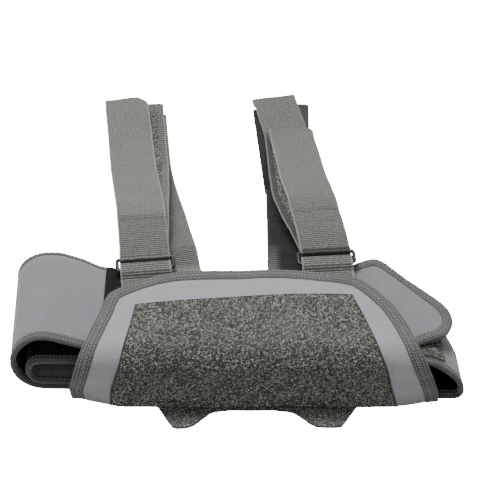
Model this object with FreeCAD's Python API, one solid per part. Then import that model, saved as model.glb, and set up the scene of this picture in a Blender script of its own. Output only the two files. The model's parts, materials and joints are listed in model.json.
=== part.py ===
import FreeCAD, Part
import math
import os
from FreeCAD import Vector

# Folded arm sling: a forearm pouch lies on a flat-folded foam belt, and two webbing
# straps run back from their rings. Millimetres, +Z up, +Y away from the pouch's front.

# ---------------------------------------------------------------- driving sizes
WEBBING_WIDTH = 50.0
WEBBING = 2.0                 # strap webbing thickness
ANCHOR_WEBBING = 1.5          # thinner webbing that holds the rings
RING_ROD = 4.0
RING_SLACK = 1.0              # between the webbing's edge and the ring's side rod
BAR_SPACING = 14.0            # between the ring's two bars
RING_TILT = 10.0              # degrees, far bar up
TURN_PLAY = 0.2               # between a rod and the webbing round it

BELT_WIDTH = 132.0
BELT_FOAM = 5.0
BELT_LEFT = -225.0            # outer face of the left fold
BELT_RIGHT = 218.5            # outer face of the right fold
RIGHT_FOLD_HEIGHT = 49.5      # the belt's lower loop at its right fold
LEFT_FOLD_HEIGHT = 64.8       # the belt's outer loop at its left fold
INNER_FOLD_HEIGHT = 38.0      # top of the inner loop at its left fold
BELT_TURN = -2.0              # degrees, the folded belt's turn in plan
BELT_NEAR = -52.6             # the belt's near edge in the middle

FRONT_FACE = -73.0            # outer face of the front wall's upright part
FRONT_FOAM = 4.5
REAR_FOAM = 2.0
LINING = 1.0
POUCH_GAP = 5.5               # clear height between the walls
LEG_GAP = 7.0                 # clear depth between the walls' upright parts
FRONT_BEND = 20.0             # radius of the front wall's mid-surface
REAR_BEND = 4.0
FLAP_THICK = 3.0

PILE = 1.3                    # pile patches of the pouch and the belt
HOOK = 1.2                    # the tongue's hook patch
STRAP_PILE = 1.2
STRAP_HOOK = 1.0
PATCH_INSET = 3.0             # from the webbing's edge to a strap's pile or hook strip
TAPE = 0.8                    # binding tape thickness
FRONT_TAPE_WIDTH = 13.0
BELT_TAPE_WIDTH = 9.0
TONGUE_TAPE_WIDTH = 10.0
FLAP_TAPE_WIDTH = 5.0
CLEAR = 0.3                   # between pieces that part
HINGE_GAP = 4.0               # open width of the tongue's fold line

# ---------------------------------------------------------------- stack heights
second_top = RIGHT_FOLD_HEIGHT
hook_bottom = second_top + PILE + CLEAR
tongue_bottom = hook_bottom + HOOK
tongue_mid = tongue_bottom + BELT_FOAM / 2
rear_bottom = tongue_bottom + BELT_FOAM
lining_bottom = rear_bottom + REAR_FOAM
lining_top = lining_bottom + LINING
front_bottom = lining_top + POUCH_GAP
front_mid = front_bottom + FRONT_FOAM / 2

# ---------------------------------------------------------------- rings and straps
bar_height = front_bottom + 1.7
rise = math.sin(math.radians(RING_TILT)) * BAR_SPACING
reach = math.cos(math.radians(RING_TILT)) * BAR_SPACING
far_bar_height = bar_height + rise
turn_radius = RING_ROD / 2 + TURN_PLAY + WEBBING / 2
stack_step = WEBBING + STRAP_PILE + STRAP_HOOK + CLEAR   # lower run to tab, flat part
floor_run = WEBBING / 2                                  # mid height of the lowest layer
UNDER_SPACE = 2.2                                        # between the two lower layers
under_flat = floor_run + WEBBING + UNDER_SPACE           # mid height of the under run
tab_flat = under_flat + stack_step
HINGE_SPACE = 2.0             # gap in the top run at the ring

STRAPS = {
    "left": dict(bar=(-94.0, 56.5), lean=6.5, under_lean=3.3, top_lean=6.3, under_length=366.0,
                 tab_length=375.0, tail=(-64.0, 8.6), pile=(62.0, 350.0)),
    "right": dict(bar=(87.3, 66.0), lean=4.5, under_lean=8.2, top_lean=5.3, under_length=370.0,
                  tab_length=306.0, tail=(53.0, 1.5), pile=(62.0, 345.0)),
}
TAIL_EDGE = 67.0              # the rear wall's far edge, where the straps' rear ends leave it
TAIL_LENGTH = 29.0
TAIL_SPACE = 3.0              # open stretch between the sewn tail and the rear run
BEND_OFF = 25.0               # where the under run takes its own direction, from the near bar
SEAM = 84.0                   # start of the hook tab, from the near bar
SEAM_LAP = 10.0
HOOK_LENGTH = 70.0

os.makedirs("parts", exist_ok=True)
UP = Vector(0, 0, 1)


# ---------------------------------------------------------------- drawing helpers
def in_side(h, z):
    """Point of a profile drawn in the YZ plane."""
    return Vector(0, h, z)


def in_front(h, z):
    """Point of a profile drawn in the XZ plane."""
    return Vector(h, 0, z)


def in_plan(h, y):
    """Point of an outline drawn in the XY plane."""
    return Vector(h, y, 0)


def unit(a, b):
    length = math.hypot(b[0] - a[0], b[1] - a[1])
    return ((b[0] - a[0]) / length, (b[1] - a[1]) / length)


def shifted(points, gap):
    """An open line moved to its left by gap, with mitred corners."""
    ways = [unit(a, b) for a, b in zip(points, points[1:])]
    moved = []
    for index, point in enumerate(points):
        before = ways[max(index - 1, 0)]
        after = ways[min(index, len(ways) - 1)]
        nx = -before[1] - after[1]
        nz = before[0] + after[0]
        scale = 2 * gap / (nx * nx + nz * nz)
        moved.append((point[0] + nx * scale, point[1] + nz * scale))
    return moved


def turn_sign(points, index):
    into = unit(points[index - 1], points[index])
    out = unit(points[index], points[(index + 1) % len(points)])
    return 1 if into[0] * out[1] - into[1] * out[0] > 0 else -1


def corner(before, point, after, radius):
    """Start, middle and end of the arc that rounds a corner."""
    into = unit(before, point)
    out = unit(point, after)
    cosine = into[0] * out[0] + into[1] * out[1]
    setback = radius * math.tan(math.acos(max(-1.0, min(1.0, cosine))) / 2)
    start = (point[0] - into[0] * setback, point[1] - into[1] * setback)
    end = (point[0] + out[0] * setback, point[1] + out[1] * setback)
    sign = 1 if into[0] * out[1] - into[1] * out[0] > 0 else -1
    centre = (start[0] - into[1] * radius * sign, start[1] + into[0] * radius * sign)
    away = unit(centre, point)
    middle = (centre[0] + away[0] * radius, centre[1] + away[1] * radius)
    return start, middle, end


def rounded(points, radii, place, closed=False):
    """Edges of a line or outline whose corners have the given radii."""
    count = len(points)
    edges = []
    last = None
    stops = range(count) if closed else range(1, count - 1)
    if not closed:
        last = points[0]
    first = None
    for index in stops:
        radius = radii[index] if closed else radii[index - 1]
        if radius:
            arc = corner(points[index - 1], points[index], points[(index + 1) % count], radius)
        else:
            arc = (points[index],) * 3
        if last is not None and math.dist(last, arc[0]) > 1e-6:
            edges.append(Part.makeLine(place(*last), place(*arc[0])))
        if radius:
            edges.append(Part.Arc(*[place(*p) for p in arc]).toShape())
        first = first or arc[0]
        last = arc[2]
    end = first if closed else points[-1]
    if math.dist(last, end) > 1e-6:
        edges.append(Part.makeLine(place(*last), place(*end)))
    return edges


def strip(points, radii, thick, place, way):
    """A sheet that follows a rounded line, thick across it, extruded along way."""
    sides = []
    for side in (1, -1):
        gap = side * thick / 2
        bends = [r - gap * turn_sign(points, i + 1) for i, r in enumerate(radii)]
        sides.append(rounded(shifted(points, gap), bends, place))
    ends = []
    for index in (0, -1):
        pair = [shifted(points, side * thick / 2)[index] for side in (1, -1)]
        ends.append(Part.makeLine(place(*pair[0]), place(*pair[1])))
    wire = Part.Wire(Part.__sortEdges__(sides[0] + sides[1] + ends))
    return Part.Face(wire).extrude(way)


def outline(points, radii, place=in_plan, inset=0.0):
    wire = Part.Wire(rounded(points, radii, place, closed=True))
    return wire.makeOffset2D(-inset) if inset else wire


def block(low, high):
    size = [b - a for a, b in zip(low, high)]
    return Part.makeBox(*size, Vector(*low))


def solids(shape):
    shape = shape.removeSplitter()
    found = [s for s in shape.Solids if s.Volume > 1.0]
    return found[0] if len(found) == 1 else Part.makeCompound(found)


NODES = {}


def keep(name, shape):
    NODES[name] = solids(shape)


# ---------------------------------------------------------------- belt
def belt_path():
    """Mid line of the folded belt: top layer, left fold, bottom, right fold, inner loop."""
    half = BELT_FOAM / 2
    left = BELT_LEFT + half
    right = BELT_RIGHT - half
    high = LEFT_FOLD_HEIGHT - half
    low = half
    second = RIGHT_FOLD_HEIGHT - half
    inner_high = INNER_FOLD_HEIGHT - half
    inner_low = low + BELT_FOAM + 2.0
    inner_left = left + 15.0
    outer_bend = (high - low) / 2 - 0.5
    right_bend = (second - low) / 2 - 1.0
    inner_bend = (inner_high - inner_low) / 2 - 0.4
    points = [(110, tongue_mid), (-144, tongue_mid), (-184, high), (left, high), (left, low),
              (right, low), (right, second), (inner_left, inner_high),
              (inner_left, inner_low), (-70, inner_low)]
    radii = [50, 50, outer_bend, outer_bend, right_bend, right_bend, inner_bend, inner_bend]
    return points, radii


def turned(shape):
    return shape.rotated(Vector(0, 0, 0), UP, BELT_TURN)


TONGUE_OUTLINE = [(100, 82), (100, -56), (150, -56), (197, -37), (209, -8), (201, 25), (141, 82)]
TONGUE_BENDS = [0, 0, 20, 14, 20, 25, 10]
HINGE_NEAR = Vector(177.0, -44.0, tongue_mid)
HINGE_FAR = Vector(113.0, 81.0, tongue_mid)
hinge_way = (HINGE_FAR - HINGE_NEAR).normalize()
hinge_side = Vector(hinge_way.y, -hinge_way.x, 0)


def hinge_half(side):
    """Large block on one side of the tongue's fold line, half the gap away from it."""
    out = hinge_side * side
    start = HINGE_NEAR + out * (HINGE_GAP / 2) - hinge_way * 200
    start.z = tongue_bottom - 20
    corners = [start, start + hinge_way * 500, start + hinge_way * 500 + out * 300, start + out * 300]
    return Part.Face(Part.makePolygon(corners + [start])).extrude(UP * 40)


def tongue_plate(inset, bottom, thick):
    wire = outline(TONGUE_OUTLINE, TONGUE_BENDS, inset=inset)
    return Part.Face(wire).extrude(UP * thick).translated(UP * bottom)


def make_belt():
    points, radii = belt_path()
    width = Vector(0, BELT_WIDTH, 0)
    full = strip(points, radii, BELT_FOAM, in_front, width)
    thin = strip(points, radii, BELT_FOAM - 2 * TAPE, in_front, width)
    far = BELT_WIDTH
    wide = (BELT_LEFT - 10, BELT_RIGHT + 10)
    body = block((wide[0], BELT_TAPE_WIDTH, -5), (wide[1], far - BELT_TAPE_WIDTH, 90))
    lip = block((wide[0], 1, -5), (wide[1], far - 1, 90))
    band = full.common(body).fuse(thin.common(lip))
    tapes = full.cut(band)
    near_half = block((wide[0], -5, -5), (wide[1], BELT_WIDTH / 2, 90))
    to_place = Vector(0, BELT_NEAR, 0)
    band = turned(band.translated(to_place))
    near = turned(tapes.common(near_half).translated(to_place))
    far_tape = turned(tapes.cut(near_half).translated(to_place))
    root = tongue_plate(0, tongue_bottom, BELT_FOAM).common(hinge_half(-1))
    root = root.cut(near).cut(far_tape)
    keep("belt_band", band.fuse(root))
    keep("belt_near_binding", near)
    keep("belt_far_binding", far_tape)


def make_tongue():
    moving = hinge_half(1)
    full = tongue_plate(0, tongue_bottom, BELT_FOAM).common(moving)
    core = tongue_plate(TONGUE_TAPE_WIDTH, tongue_bottom, BELT_FOAM).common(moving)
    lip = tongue_plate(1.0, tongue_bottom + TAPE, BELT_FOAM - 2 * TAPE).common(moving)
    tongue = core.fuse(lip)
    keep("belt_tongue", tongue)
    keep("belt_tongue_binding", full.cut(tongue))
    margin = TONGUE_TAPE_WIDTH + 3
    hook = tongue_plate(margin, hook_bottom, HOOK).common(moving.translated(hinge_side * 3))
    keep("belt_tongue_hook_patch", hook)


def make_belt_patch():
    """Pile patch on the flat stretch of the layer under the tongue, before the right fold."""
    points, _ = belt_path()
    layer = [points[6], points[7]]
    gap = (BELT_FOAM + PILE) / 2
    line = shifted([layer[0], layer[1]], -gap)
    pile = strip([line[0], line[1]], [], PILE, in_front, Vector(0, BELT_WIDTH, 0))
    edge = BELT_TAPE_WIDTH + 3
    field = block((105, edge, 0), (BELT_RIGHT - RIGHT_FOLD_HEIGHT / 2, BELT_WIDTH - edge, 90))
    keep("belt_loop_patch", turned(pile.common(field).translated(Vector(0, BELT_NEAR, 0))))


# ---------------------------------------------------------------- pouch
FRONT_PLAN = [(-158.5, -90), (-124, 30), (-25, 55), (62, 54), (124, 41), (148, 4), (181, -90)]
FRONT_PLAN_BENDS = [0, 24, 300, 200, 22, 60, 0]
FRONT_SIDES = [(-147, 85), (-174, -30), (206, -30), (166, 85)]
PATCH_PLAN = [(-117, -90), (-102, 1), (20, 14), (110, 15.5), (141, -90)]
PATCH_SIDES = [(-111, 85), (-131, -30), (159, -30), (130, 85)]
REAR_PLAN = [(-135, -80), (-135, 74), (-60, TAIL_EDGE + 1), (112, TAIL_EDGE + 1), (112, -80)]
REAR_BENDS = [0, 14, 100, 14, 0]


def wall(mid_height, face, bend, thick, far_edge, outward=0.0):
    """Sheet that lies flat, bends down and stands on the flap; face is its mid plane in front."""
    points = [(far_edge, mid_height), (face, mid_height), (face, FLAP_THICK)]
    moved = shifted(points, -outward) if outward else points
    line = [moved[0], moved[1], (moved[2][0], FLAP_THICK)]
    sheet = strip(line, [bend + outward], thick, in_side, Vector(500, 0, 0))
    return sheet.translated(Vector(-250, 0, 0))


def window(plan, bends, sides, inset=0.0):
    """Space whose plan and front outlines both lie inset inside the given ones."""
    top = outline(plan, bends, in_plan, inset)
    upright = Part.Face(top).extrude(UP * 200).translated(UP * -50)
    if sides is None:
        return upright
    face = outline(sides, [0] * len(sides), in_front, inset)
    across = Part.Face(face).extrude(Vector(0, 400, 0)).translated(Vector(0, -200, 0))
    return upright.common(across)


def make_front():
    face = FRONT_FACE + FRONT_FOAM / 2
    slab = wall(front_mid, face, FRONT_BEND, FRONT_FOAM, 80)
    thin = wall(front_mid, face, FRONT_BEND, FRONT_FOAM - 2 * TAPE, 80)
    outer = window(FRONT_PLAN, FRONT_PLAN_BENDS, FRONT_SIDES)
    lip = window(FRONT_PLAN, FRONT_PLAN_BENDS, FRONT_SIDES, 1.0)
    inner = window(FRONT_PLAN, FRONT_PLAN_BENDS, FRONT_SIDES, FRONT_TAPE_WIDTH)
    panel = slab.common(inner).fuse(thin.common(lip))
    keep("front_wall", panel)
    keep("front_binding", slab.common(outer).cut(panel))
    pile = wall(front_mid, face, FRONT_BEND, PILE, 80, (FRONT_FOAM + PILE) / 2)
    keep("front_loop_patch", pile.common(window(PATCH_PLAN, [0, 3, 200, 3, 0], PATCH_SIDES)))


def make_rear():
    leg_outer = FRONT_FACE + FRONT_FOAM + LEG_GAP
    lining_face = leg_outer + LINING / 2
    foam_face = leg_outer + LINING + REAR_FOAM / 2
    lining = wall(lining_top - LINING / 2, lining_face, REAR_BEND, LINING, 90)
    foam = wall(rear_bottom + REAR_FOAM / 2, foam_face, REAR_BEND - LINING / 2 - REAR_FOAM / 2,
                REAR_FOAM, 90)
    outer = window(REAR_PLAN, REAR_BENDS, None)
    inner = window(REAR_PLAN, REAR_BENDS, None, BELT_TAPE_WIDTH)
    keep("rear_wall", foam.common(inner))
    keep("rear_lining", lining.common(inner))
    keep("rear_binding", foam.fuse(lining).common(outer.cut(inner)))


def make_flap():
    back = FRONT_FACE + FRONT_FOAM + LEG_GAP + LINING + REAR_FOAM
    left, right = (-86.2, back), (120.0, back)
    left_tip, right_tip = (-63.5, -101.5), (96.0, -99.5)
    points = [left, left_tip, (-46, -99.5), (-22, FRONT_FACE - 2), (47, FRONT_FACE - 2), (74, -99.5),
              right_tip, right]
    wire = outline(points, [0, 2, 12, 14, 14, 12, 3, 0])
    whole = Part.Face(wire).extrude(UP * FLAP_THICK)
    tapes = []
    for start, tip, side in ((left, left_tip, 1), (right, right_tip, -1)):
        way = Vector(tip[0] - start[0], tip[1] - start[1], 0).normalize()
        across = Vector(-way.y, way.x, 0) * side * FLAP_TAPE_WIDTH
        a = Vector(start[0], start[1], 0) - way * 20
        b = Vector(tip[0], tip[1], 0) + way * 20
        edge = Part.Face(Part.makePolygon([a, b, b + across, a + across, a])).extrude(UP * FLAP_THICK)
        tapes.append(edge.common(whole))
    binding = tapes[0].fuse(tapes[1])
    keep("under_flap", whole.cut(binding))
    keep("under_flap_binding", binding)


# ---------------------------------------------------------------- straps
def laid(shape, origin, lean):
    """A strap piece, drawn with its middle on the Y axis, put on its ring at its lean."""
    placed = shape.rotated(Vector(0, 0, 0), UP, lean)
    return placed.translated(Vector(origin[0], origin[1], 0))


def ribbon(points, radii, thick, width=WEBBING_WIDTH):
    sheet = strip(points, radii, thick, in_side, Vector(width, 0, 0))
    return sheet.translated(Vector(-width / 2, 0, 0))


def past(start, end):
    """Block that holds what lies between two distances from the near bar."""
    return block((-80, start, -10), (80, end, 120))


def under_path(length):
    """From the top of the far bar, round it, back along the under run to the far fold."""
    near = reach - turn_radius
    fold = under_flat - floor_run
    return ([(reach + 2.0, far_bar_height + turn_radius), (near, far_bar_height + turn_radius),
             (near, far_bar_height - turn_radius), (30, far_bar_height - turn_radius),
             (60, far_bar_height - 2.4), (110, 60), (228, 14), (284, under_flat),
             (length + fold / 2, under_flat), (length + fold / 2, floor_run), (length - 8, floor_run)],
            [turn_radius, turn_radius, 40, 60, 90, 100, 100, fold / 2 - 0.05, fold / 2 - 0.05])


def top_path(length):
    """Line of the top run, and under it that of the tab, from the ring to the free end."""
    line = tab_flat - WEBBING - 0.05
    start = reach + 2.0 + HINGE_SPACE
    return ([(start, far_bar_height + turn_radius), (45, far_bar_height + 4.6),
             (65, far_bar_height + 3.9), (112, 66), (230, 17.5), (286, line), (length, line)],
            [60, 60, 90, 100, 100])


def make_ring():
    half = WEBBING_WIDTH / 2 + RING_SLACK + RING_ROD / 2
    bend = 2.5
    tilt = [(-half, 0), (half, 0), (half, BAR_SPACING), (-half, BAR_SPACING)]
    path = Part.Wire(rounded(tilt, [bend] * 4, in_plan, closed=True))
    start = path.Edges[0].valueAt(path.Edges[0].FirstParameter)
    way = path.Edges[0].tangentAt(path.Edges[0].FirstParameter)
    section = Part.Wire(Part.makeCircle(RING_ROD / 2, start, way))
    ring = path.makePipeShell([section], True, True, 2)
    ring = ring.rotated(Vector(0, 0, 0), Vector(1, 0, 0), RING_TILT)
    return ring.translated(Vector(0, 0, bar_height))


def anchor_path():
    ply = ANCHOR_WEBBING / 2
    loop = RING_ROD / 2 + TURN_PLAY + ply
    top = front_bottom - ply
    low = top - ANCHOR_WEBBING - 0.05
    return ([(-36, top), (-10.5, top), (-6, bar_height + loop), (loop, bar_height + loop),
             (loop, bar_height - loop), (-6, bar_height - loop), (-10.5, low), (-36, low)],
            [2.5, 2.5, loop - 0.02, loop - 0.02, 3, 3])


def make_strap(side, spec):
    bar = spec["bar"]
    keep(f"{side}_ring", laid(make_ring(), bar, spec["lean"]))
    points, radii = anchor_path()
    loop = ribbon(points, radii, ANCHOR_WEBBING)
    plies = block((-WEBBING_WIDTH / 2, points[0][0], points[-1][1] - ANCHOR_WEBBING / 2),
                  (WEBBING_WIDTH / 2, points[1][0] - 2, front_bottom))
    keep(f"{side}_anchor", laid(loop.fuse(plies), bar, spec["lean"]))

    points, radii = under_path(spec["under_length"])
    whole = ribbon(points, radii, WEBBING)
    turn = whole.common(past(-10, BEND_OFF + 2))
    skew = spec["under_lean"] - spec["lean"]

    def bent_off(shape):
        """Turn what lies past the ring to the under run's own direction."""
        return shape.rotated(Vector(0, BEND_OFF, 0), UP, skew)

    run_back = bent_off(whole.common(past(BEND_OFF - 2, 500)))
    keep(f"{side}_under_run", laid(turn.fuse(run_back), bar, spec["lean"]))
    run = points[3:9]
    pile_line = shifted(run, (WEBBING + STRAP_PILE) / 2)
    pile_bends = [r - (WEBBING + STRAP_PILE) / 2 * turn_sign(run, i + 1)
                  for i, r in enumerate(radii[3:7])]
    pile = ribbon(pile_line, pile_bends, STRAP_PILE, WEBBING_WIDTH - 2 * PATCH_INSET)
    pile = pile.common(past(*spec["pile"]))
    keep(f"{side}_loop_patch", laid(bent_off(pile), bar, spec["lean"]))

    line, bends = top_path(spec["tab_length"])
    lean = spec["top_lean"]
    top = ribbon(line, bends, WEBBING).common(past(0, SEAM + SEAM_LAP))
    keep(f"{side}_top_run", laid(top, bar, lean))

    def above(gap, thick, width):
        moved = shifted(line, gap)
        radii_here = [r - gap * turn_sign(line, i + 1) for i, r in enumerate(bends)]
        return ribbon(moved, radii_here, thick, width)

    tab_gap = WEBBING + 0.05
    tab = above(tab_gap, WEBBING, WEBBING_WIDTH).common(past(SEAM, 500))
    keep(f"{side}_hook_tab", laid(tab, bar, lean))
    hook = above(tab_gap - (WEBBING + STRAP_HOOK) / 2, STRAP_HOOK, WEBBING_WIDTH - 2 * PATCH_INSET)
    hook_start = spec["tab_length"] - HOOK_LENGTH
    keep(f"{side}_hook_patch", laid(hook.common(past(hook_start, 500)), bar, lean))

    tail_x, tail_lean = spec["tail"]
    height = lining_top + WEBBING / 2
    tail = ribbon([(-TAIL_LENGTH, height), (0, height)], [], WEBBING)
    keep(f"{side}_rear_tail", laid(tail, (tail_x, TAIL_EDGE), tail_lean))
    fall_end = (bar[1] + (spec["under_length"] - 8) * math.cos(math.radians(spec["under_lean"]))
                - TAIL_EDGE) / math.cos(math.radians(tail_lean))
    rear = ribbon([(TAIL_SPACE, height), (22, height), (86, 22), (180, floor_run),
                   (fall_end - 4, floor_run)], [22, 60, 80], WEBBING)
    keep(f"{side}_rear_run", laid(rear, (tail_x, TAIL_EDGE), tail_lean))


def make_under_end():
    """Black inner end of the right strap, flat between its two lower layers."""
    thick = UNDER_SPACE - 2 * CLEAR
    low = floor_run + WEBBING / 2 + CLEAR
    sheet = block((-WEBBING_WIDTH / 2, 0, low), (WEBBING_WIDTH / 2, 158, low + thick))
    keep("right_under_end", laid(sheet, (52.6, 260.0), 4.6))


make_belt()
make_tongue()
make_belt_patch()
make_front()
make_rear()
make_flap()
for name, strap in STRAPS.items():
    make_strap(name, strap)
make_under_end()

# ---------------------------------------------------------------- origin and export
low_corner = Vector(1e6, 1e6, 1e6)
high_corner = low_corner * -1
for shape in NODES.values():
    box = shape.optimalBoundingBox()
    low_corner = Vector(min(low_corner.x, box.XMin), min(low_corner.y, box.YMin), min(low_corner.z, box.ZMin))
    high_corner = Vector(max(high_corner.x, box.XMax), max(high_corner.y, box.YMax),
                         max(high_corner.z, box.ZMax))
middle = (low_corner + high_corner) * 0.5
shift = Vector(-middle.x, -middle.y, -low_corner.z)
print("moved by", tuple(round(v, 3) for v in shift))
for name, shape in NODES.items():
    shape.translated(shift).exportStep(f"parts/{name}.step")
    print(name, len(shape.Solids), round(shape.Volume), shape.isValid())
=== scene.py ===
import json
import math

import bmesh
import bpy
import numpy as np
from bpy.props import FloatProperty, FloatVectorProperty, IntProperty, PointerProperty
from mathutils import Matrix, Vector
from mathutils.bvhtree import BVHTree


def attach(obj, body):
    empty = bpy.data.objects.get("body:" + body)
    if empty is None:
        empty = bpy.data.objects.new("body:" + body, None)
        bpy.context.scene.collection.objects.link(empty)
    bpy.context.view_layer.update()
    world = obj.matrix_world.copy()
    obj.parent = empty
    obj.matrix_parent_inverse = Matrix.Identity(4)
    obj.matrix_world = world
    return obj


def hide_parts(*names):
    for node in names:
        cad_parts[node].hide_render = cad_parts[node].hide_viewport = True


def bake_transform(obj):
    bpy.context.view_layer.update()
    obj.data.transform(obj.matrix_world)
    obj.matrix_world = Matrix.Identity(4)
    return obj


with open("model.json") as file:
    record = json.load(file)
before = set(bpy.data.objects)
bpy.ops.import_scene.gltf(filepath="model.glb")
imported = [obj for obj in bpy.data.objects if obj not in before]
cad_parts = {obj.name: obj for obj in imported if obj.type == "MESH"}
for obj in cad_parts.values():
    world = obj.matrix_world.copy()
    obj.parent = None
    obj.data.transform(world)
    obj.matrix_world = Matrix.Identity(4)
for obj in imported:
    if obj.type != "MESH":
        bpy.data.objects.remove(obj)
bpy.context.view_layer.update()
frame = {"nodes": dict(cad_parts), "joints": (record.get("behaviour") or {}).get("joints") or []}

bl_info = {
    "name": "Folded Arm Sling",
    "version": (1, 0, 0),
    "blender": (4, 5, 0),
    "location": "View3D > Sidebar > Arm Sling",
    "description": "Sews the foam pouch, the folded belt and the webbing straps of an arm sling",
    "category": "Object",
}

# ------------------------------------------------------------ drawing frame
# Shapes are drawn in millimetres from the pouch's middle: +Y away from its front, +Z up.
MM = 0.001
SEEN_FROM = [0.0, -1300.9, 1244.5]
LOOKING_DOWN = 40.0           # degrees
RINGS = {"left": np.array([-94.0, 56.5, 67.5]), "right": np.array([87.3, 66.0, 67.5])}
JOINTS = {joint["name"]: joint for joint in frame["joints"]}
SHIFT = np.array(JOINTS["left_strap_lift"]["pos_m"]) - RINGS["left"] * MM

# Stack heights of the folded sling, from the table up.
TONGUE_MID = 54.8
FRONT_MID = 68.05
FRONT_FACE = -70.75           # mid surface of the front wall's upright part
FRONT_BEND = 20.0
FLAP_TOP = 3.0
BELT_TURN = math.radians(-2.0)
BELT_NEAR = -52.6
BELT_WIDTH = 132.0
HINGE_NEAR = np.array([177.0, -44.0])
HINGE_SIDE = np.array([0.890, 0.456])   # level, away from the pouch
BAR_REACH = 13.79             # from the ring's near bar to its far bar, level
BAR_RISE = 2.43               # the far bar's height over the near bar
TURN_RADIUS = 3.2             # webbing's mid surface round the far bar
UNDER_FLAT = 5.2
FLOOR_RUN = 1.0
TAB_FLAT = 9.9


def place(points):
    """Drawing millimetres to the frame's metres."""
    return np.asarray(points, float) * MM + SHIFT


def ease(value, start, end):
    """0 before start, 1 after end, smooth between."""
    t = np.clip((np.asarray(value, float) - start) / (end - start), 0, 1)
    return t * t * (3 - 2 * t)


def unit(vectors):
    """The same directions with a length of 1."""
    length = np.linalg.norm(vectors, axis=-1, keepdims=True)
    return vectors / np.maximum(length, 1e-9)


def lengths_along(line):
    """Distance from the line's start to each of its points."""
    steps = np.linalg.norm(np.diff(line, axis=0), axis=1)
    return np.concatenate(([0], np.cumsum(steps)))


def resample(line, count):
    """The same line with count points, evenly spaced."""
    line = np.asarray(line, float)
    along = lengths_along(line)
    stops = np.linspace(0, along[-1], count)
    return np.stack([np.interp(stops, along, line[:, k]) for k in range(line.shape[1])], axis=1)


def smooth_through(points, count):
    """A smooth line through the given points, evenly spaced."""
    points = np.asarray(points, float)
    along = lengths_along(points)
    slopes = np.gradient(points, along, axis=0)
    fine = []
    for index in range(len(points) - 1):
        t = np.linspace(0, 1, 24, endpoint=index == len(points) - 2)[:, None]
        gap = along[index + 1] - along[index]
        fine.append((2 * t**3 - 3 * t**2 + 1) * points[index] + (t**3 - 2 * t**2 + t) * gap * slopes[index]
                    + (3 * t**2 - 2 * t**3) * points[index + 1] + (t**3 - t**2) * gap * slopes[index + 1])
    return resample(np.concatenate(fine), count)


def rounded_line(points, bends, step):
    """Straight runs joined by tangent arcs of the given radii, a point every step."""
    points = [np.asarray(p, float) for p in points]
    line = [points[0]]
    for before, point, after, bend in zip(points, points[1:], points[2:], bends):
        into = unit(point - before)
        out = unit(after - point)
        turn = math.acos(float(np.clip(into @ out, -1, 1)))
        setback = bend * math.tan(turn / 2)
        side = 1 if into[0] * out[1] - into[1] * out[0] > 0 else -1
        start = point - into * setback
        centre = start + np.array([-into[1], into[0]]) * bend * side
        for share in np.linspace(0, 1, max(4, int(turn * bend / step) + 3)):
            angle = share * turn * side
            spoke = start - centre
            line.append(centre + np.array([spoke[0] * math.cos(angle) - spoke[1] * math.sin(angle),
                                           spoke[0] * math.sin(angle) + spoke[1] * math.cos(angle)]))
    line.append(points[-1])
    line = np.array(line)
    return resample(line, max(3, int(lengths_along(line)[-1] / step) + 1))


def coons(top, bottom, left, right):
    """Grid that fills four edge lines. Its first index runs along top, its second along left."""
    u = np.linspace(0, 1, len(top))[:, None, None]
    v = np.linspace(0, 1, len(left))[None, :, None]
    ruled = (1 - v) * top[:, None] + v * bottom[:, None] + (1 - u) * left[None] + u * right[None]
    corners = ((1 - u) * (1 - v) * top[0] + u * (1 - v) * top[-1] + (1 - u) * v * bottom[0]
               + u * v * bottom[-1])
    return ruled - corners


def grid_normals(grid):
    """Unit normals of a grid of points."""
    across = np.gradient(grid, axis=0)
    along = np.gradient(grid, axis=1)
    return unit(np.cross(across, along))


def wobble(x, y, seed, size):
    """Slow uneven swell, between about -1 and 1, with waves of the given size."""
    total = np.zeros(np.broadcast(x, y).shape)
    for k in range(4):
        angle = seed * 1.7 + k * 2.4
        pitch = size * (0.6 + 0.35 * k)
        total = total + np.sin((x * math.cos(angle) + y * math.sin(angle)) * 2 * math.pi / pitch + seed + k)
    return total / 2.6


# ------------------------------------------------------------ mesh builders
def make_piece(name, points, faces, material, uv, crease=60.0):
    """A mesh object from drawing millimetres, with its UV map in metres along the cloth."""
    mesh = bpy.data.meshes.new(name)
    mesh.from_pydata(place(points).tolist(), [], faces)
    layer = mesh.uv_layers.new(name="UVMap")
    corner_points = np.empty(len(mesh.loops), int)
    mesh.loops.foreach_get("vertex_index", corner_points)
    layer.data.foreach_set("uv", (np.asarray(uv) * MM)[corner_points].ravel())
    shape = bmesh.new()
    shape.from_mesh(mesh)
    bmesh.ops.recalc_face_normals(shape, faces=shape.faces)
    shape.to_mesh(mesh)
    shape.free()
    mesh.shade_smooth()
    mesh.set_sharp_from_angle(angle=math.radians(crease))
    mesh.materials.append(material)
    piece = bpy.data.objects.new(name, mesh)
    bpy.context.scene.collection.objects.link(piece)
    return piece


def grid_uv(grid):
    """Distances across and along the cloth at each point of a grid."""
    across = np.concatenate((np.zeros((1, grid.shape[1])),
                             np.cumsum(np.linalg.norm(np.diff(grid, axis=0), axis=2), axis=0)))
    along = np.concatenate((np.zeros((grid.shape[0], 1)),
                            np.cumsum(np.linalg.norm(np.diff(grid, axis=1), axis=2), axis=1)), axis=1)
    return np.stack([across, along], axis=2)


def grid_quads(nu, nv):
    """Faces of a grid of points."""
    return [(i * nv + j, (i + 1) * nv + j, (i + 1) * nv + j + 1, i * nv + j + 1)
            for i in range(nu - 1) for j in range(nv - 1)]


def border(nu, nv):
    """Indices round a grid's edge, in order."""
    ring = [i * nv for i in range(nu)]
    ring += [(nu - 1) * nv + j for j in range(1, nv)]
    ring += [i * nv + nv - 1 for i in range(nu - 2, -1, -1)]
    ring += [j for j in range(nv - 2, 0, -1)]
    return ring


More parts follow.
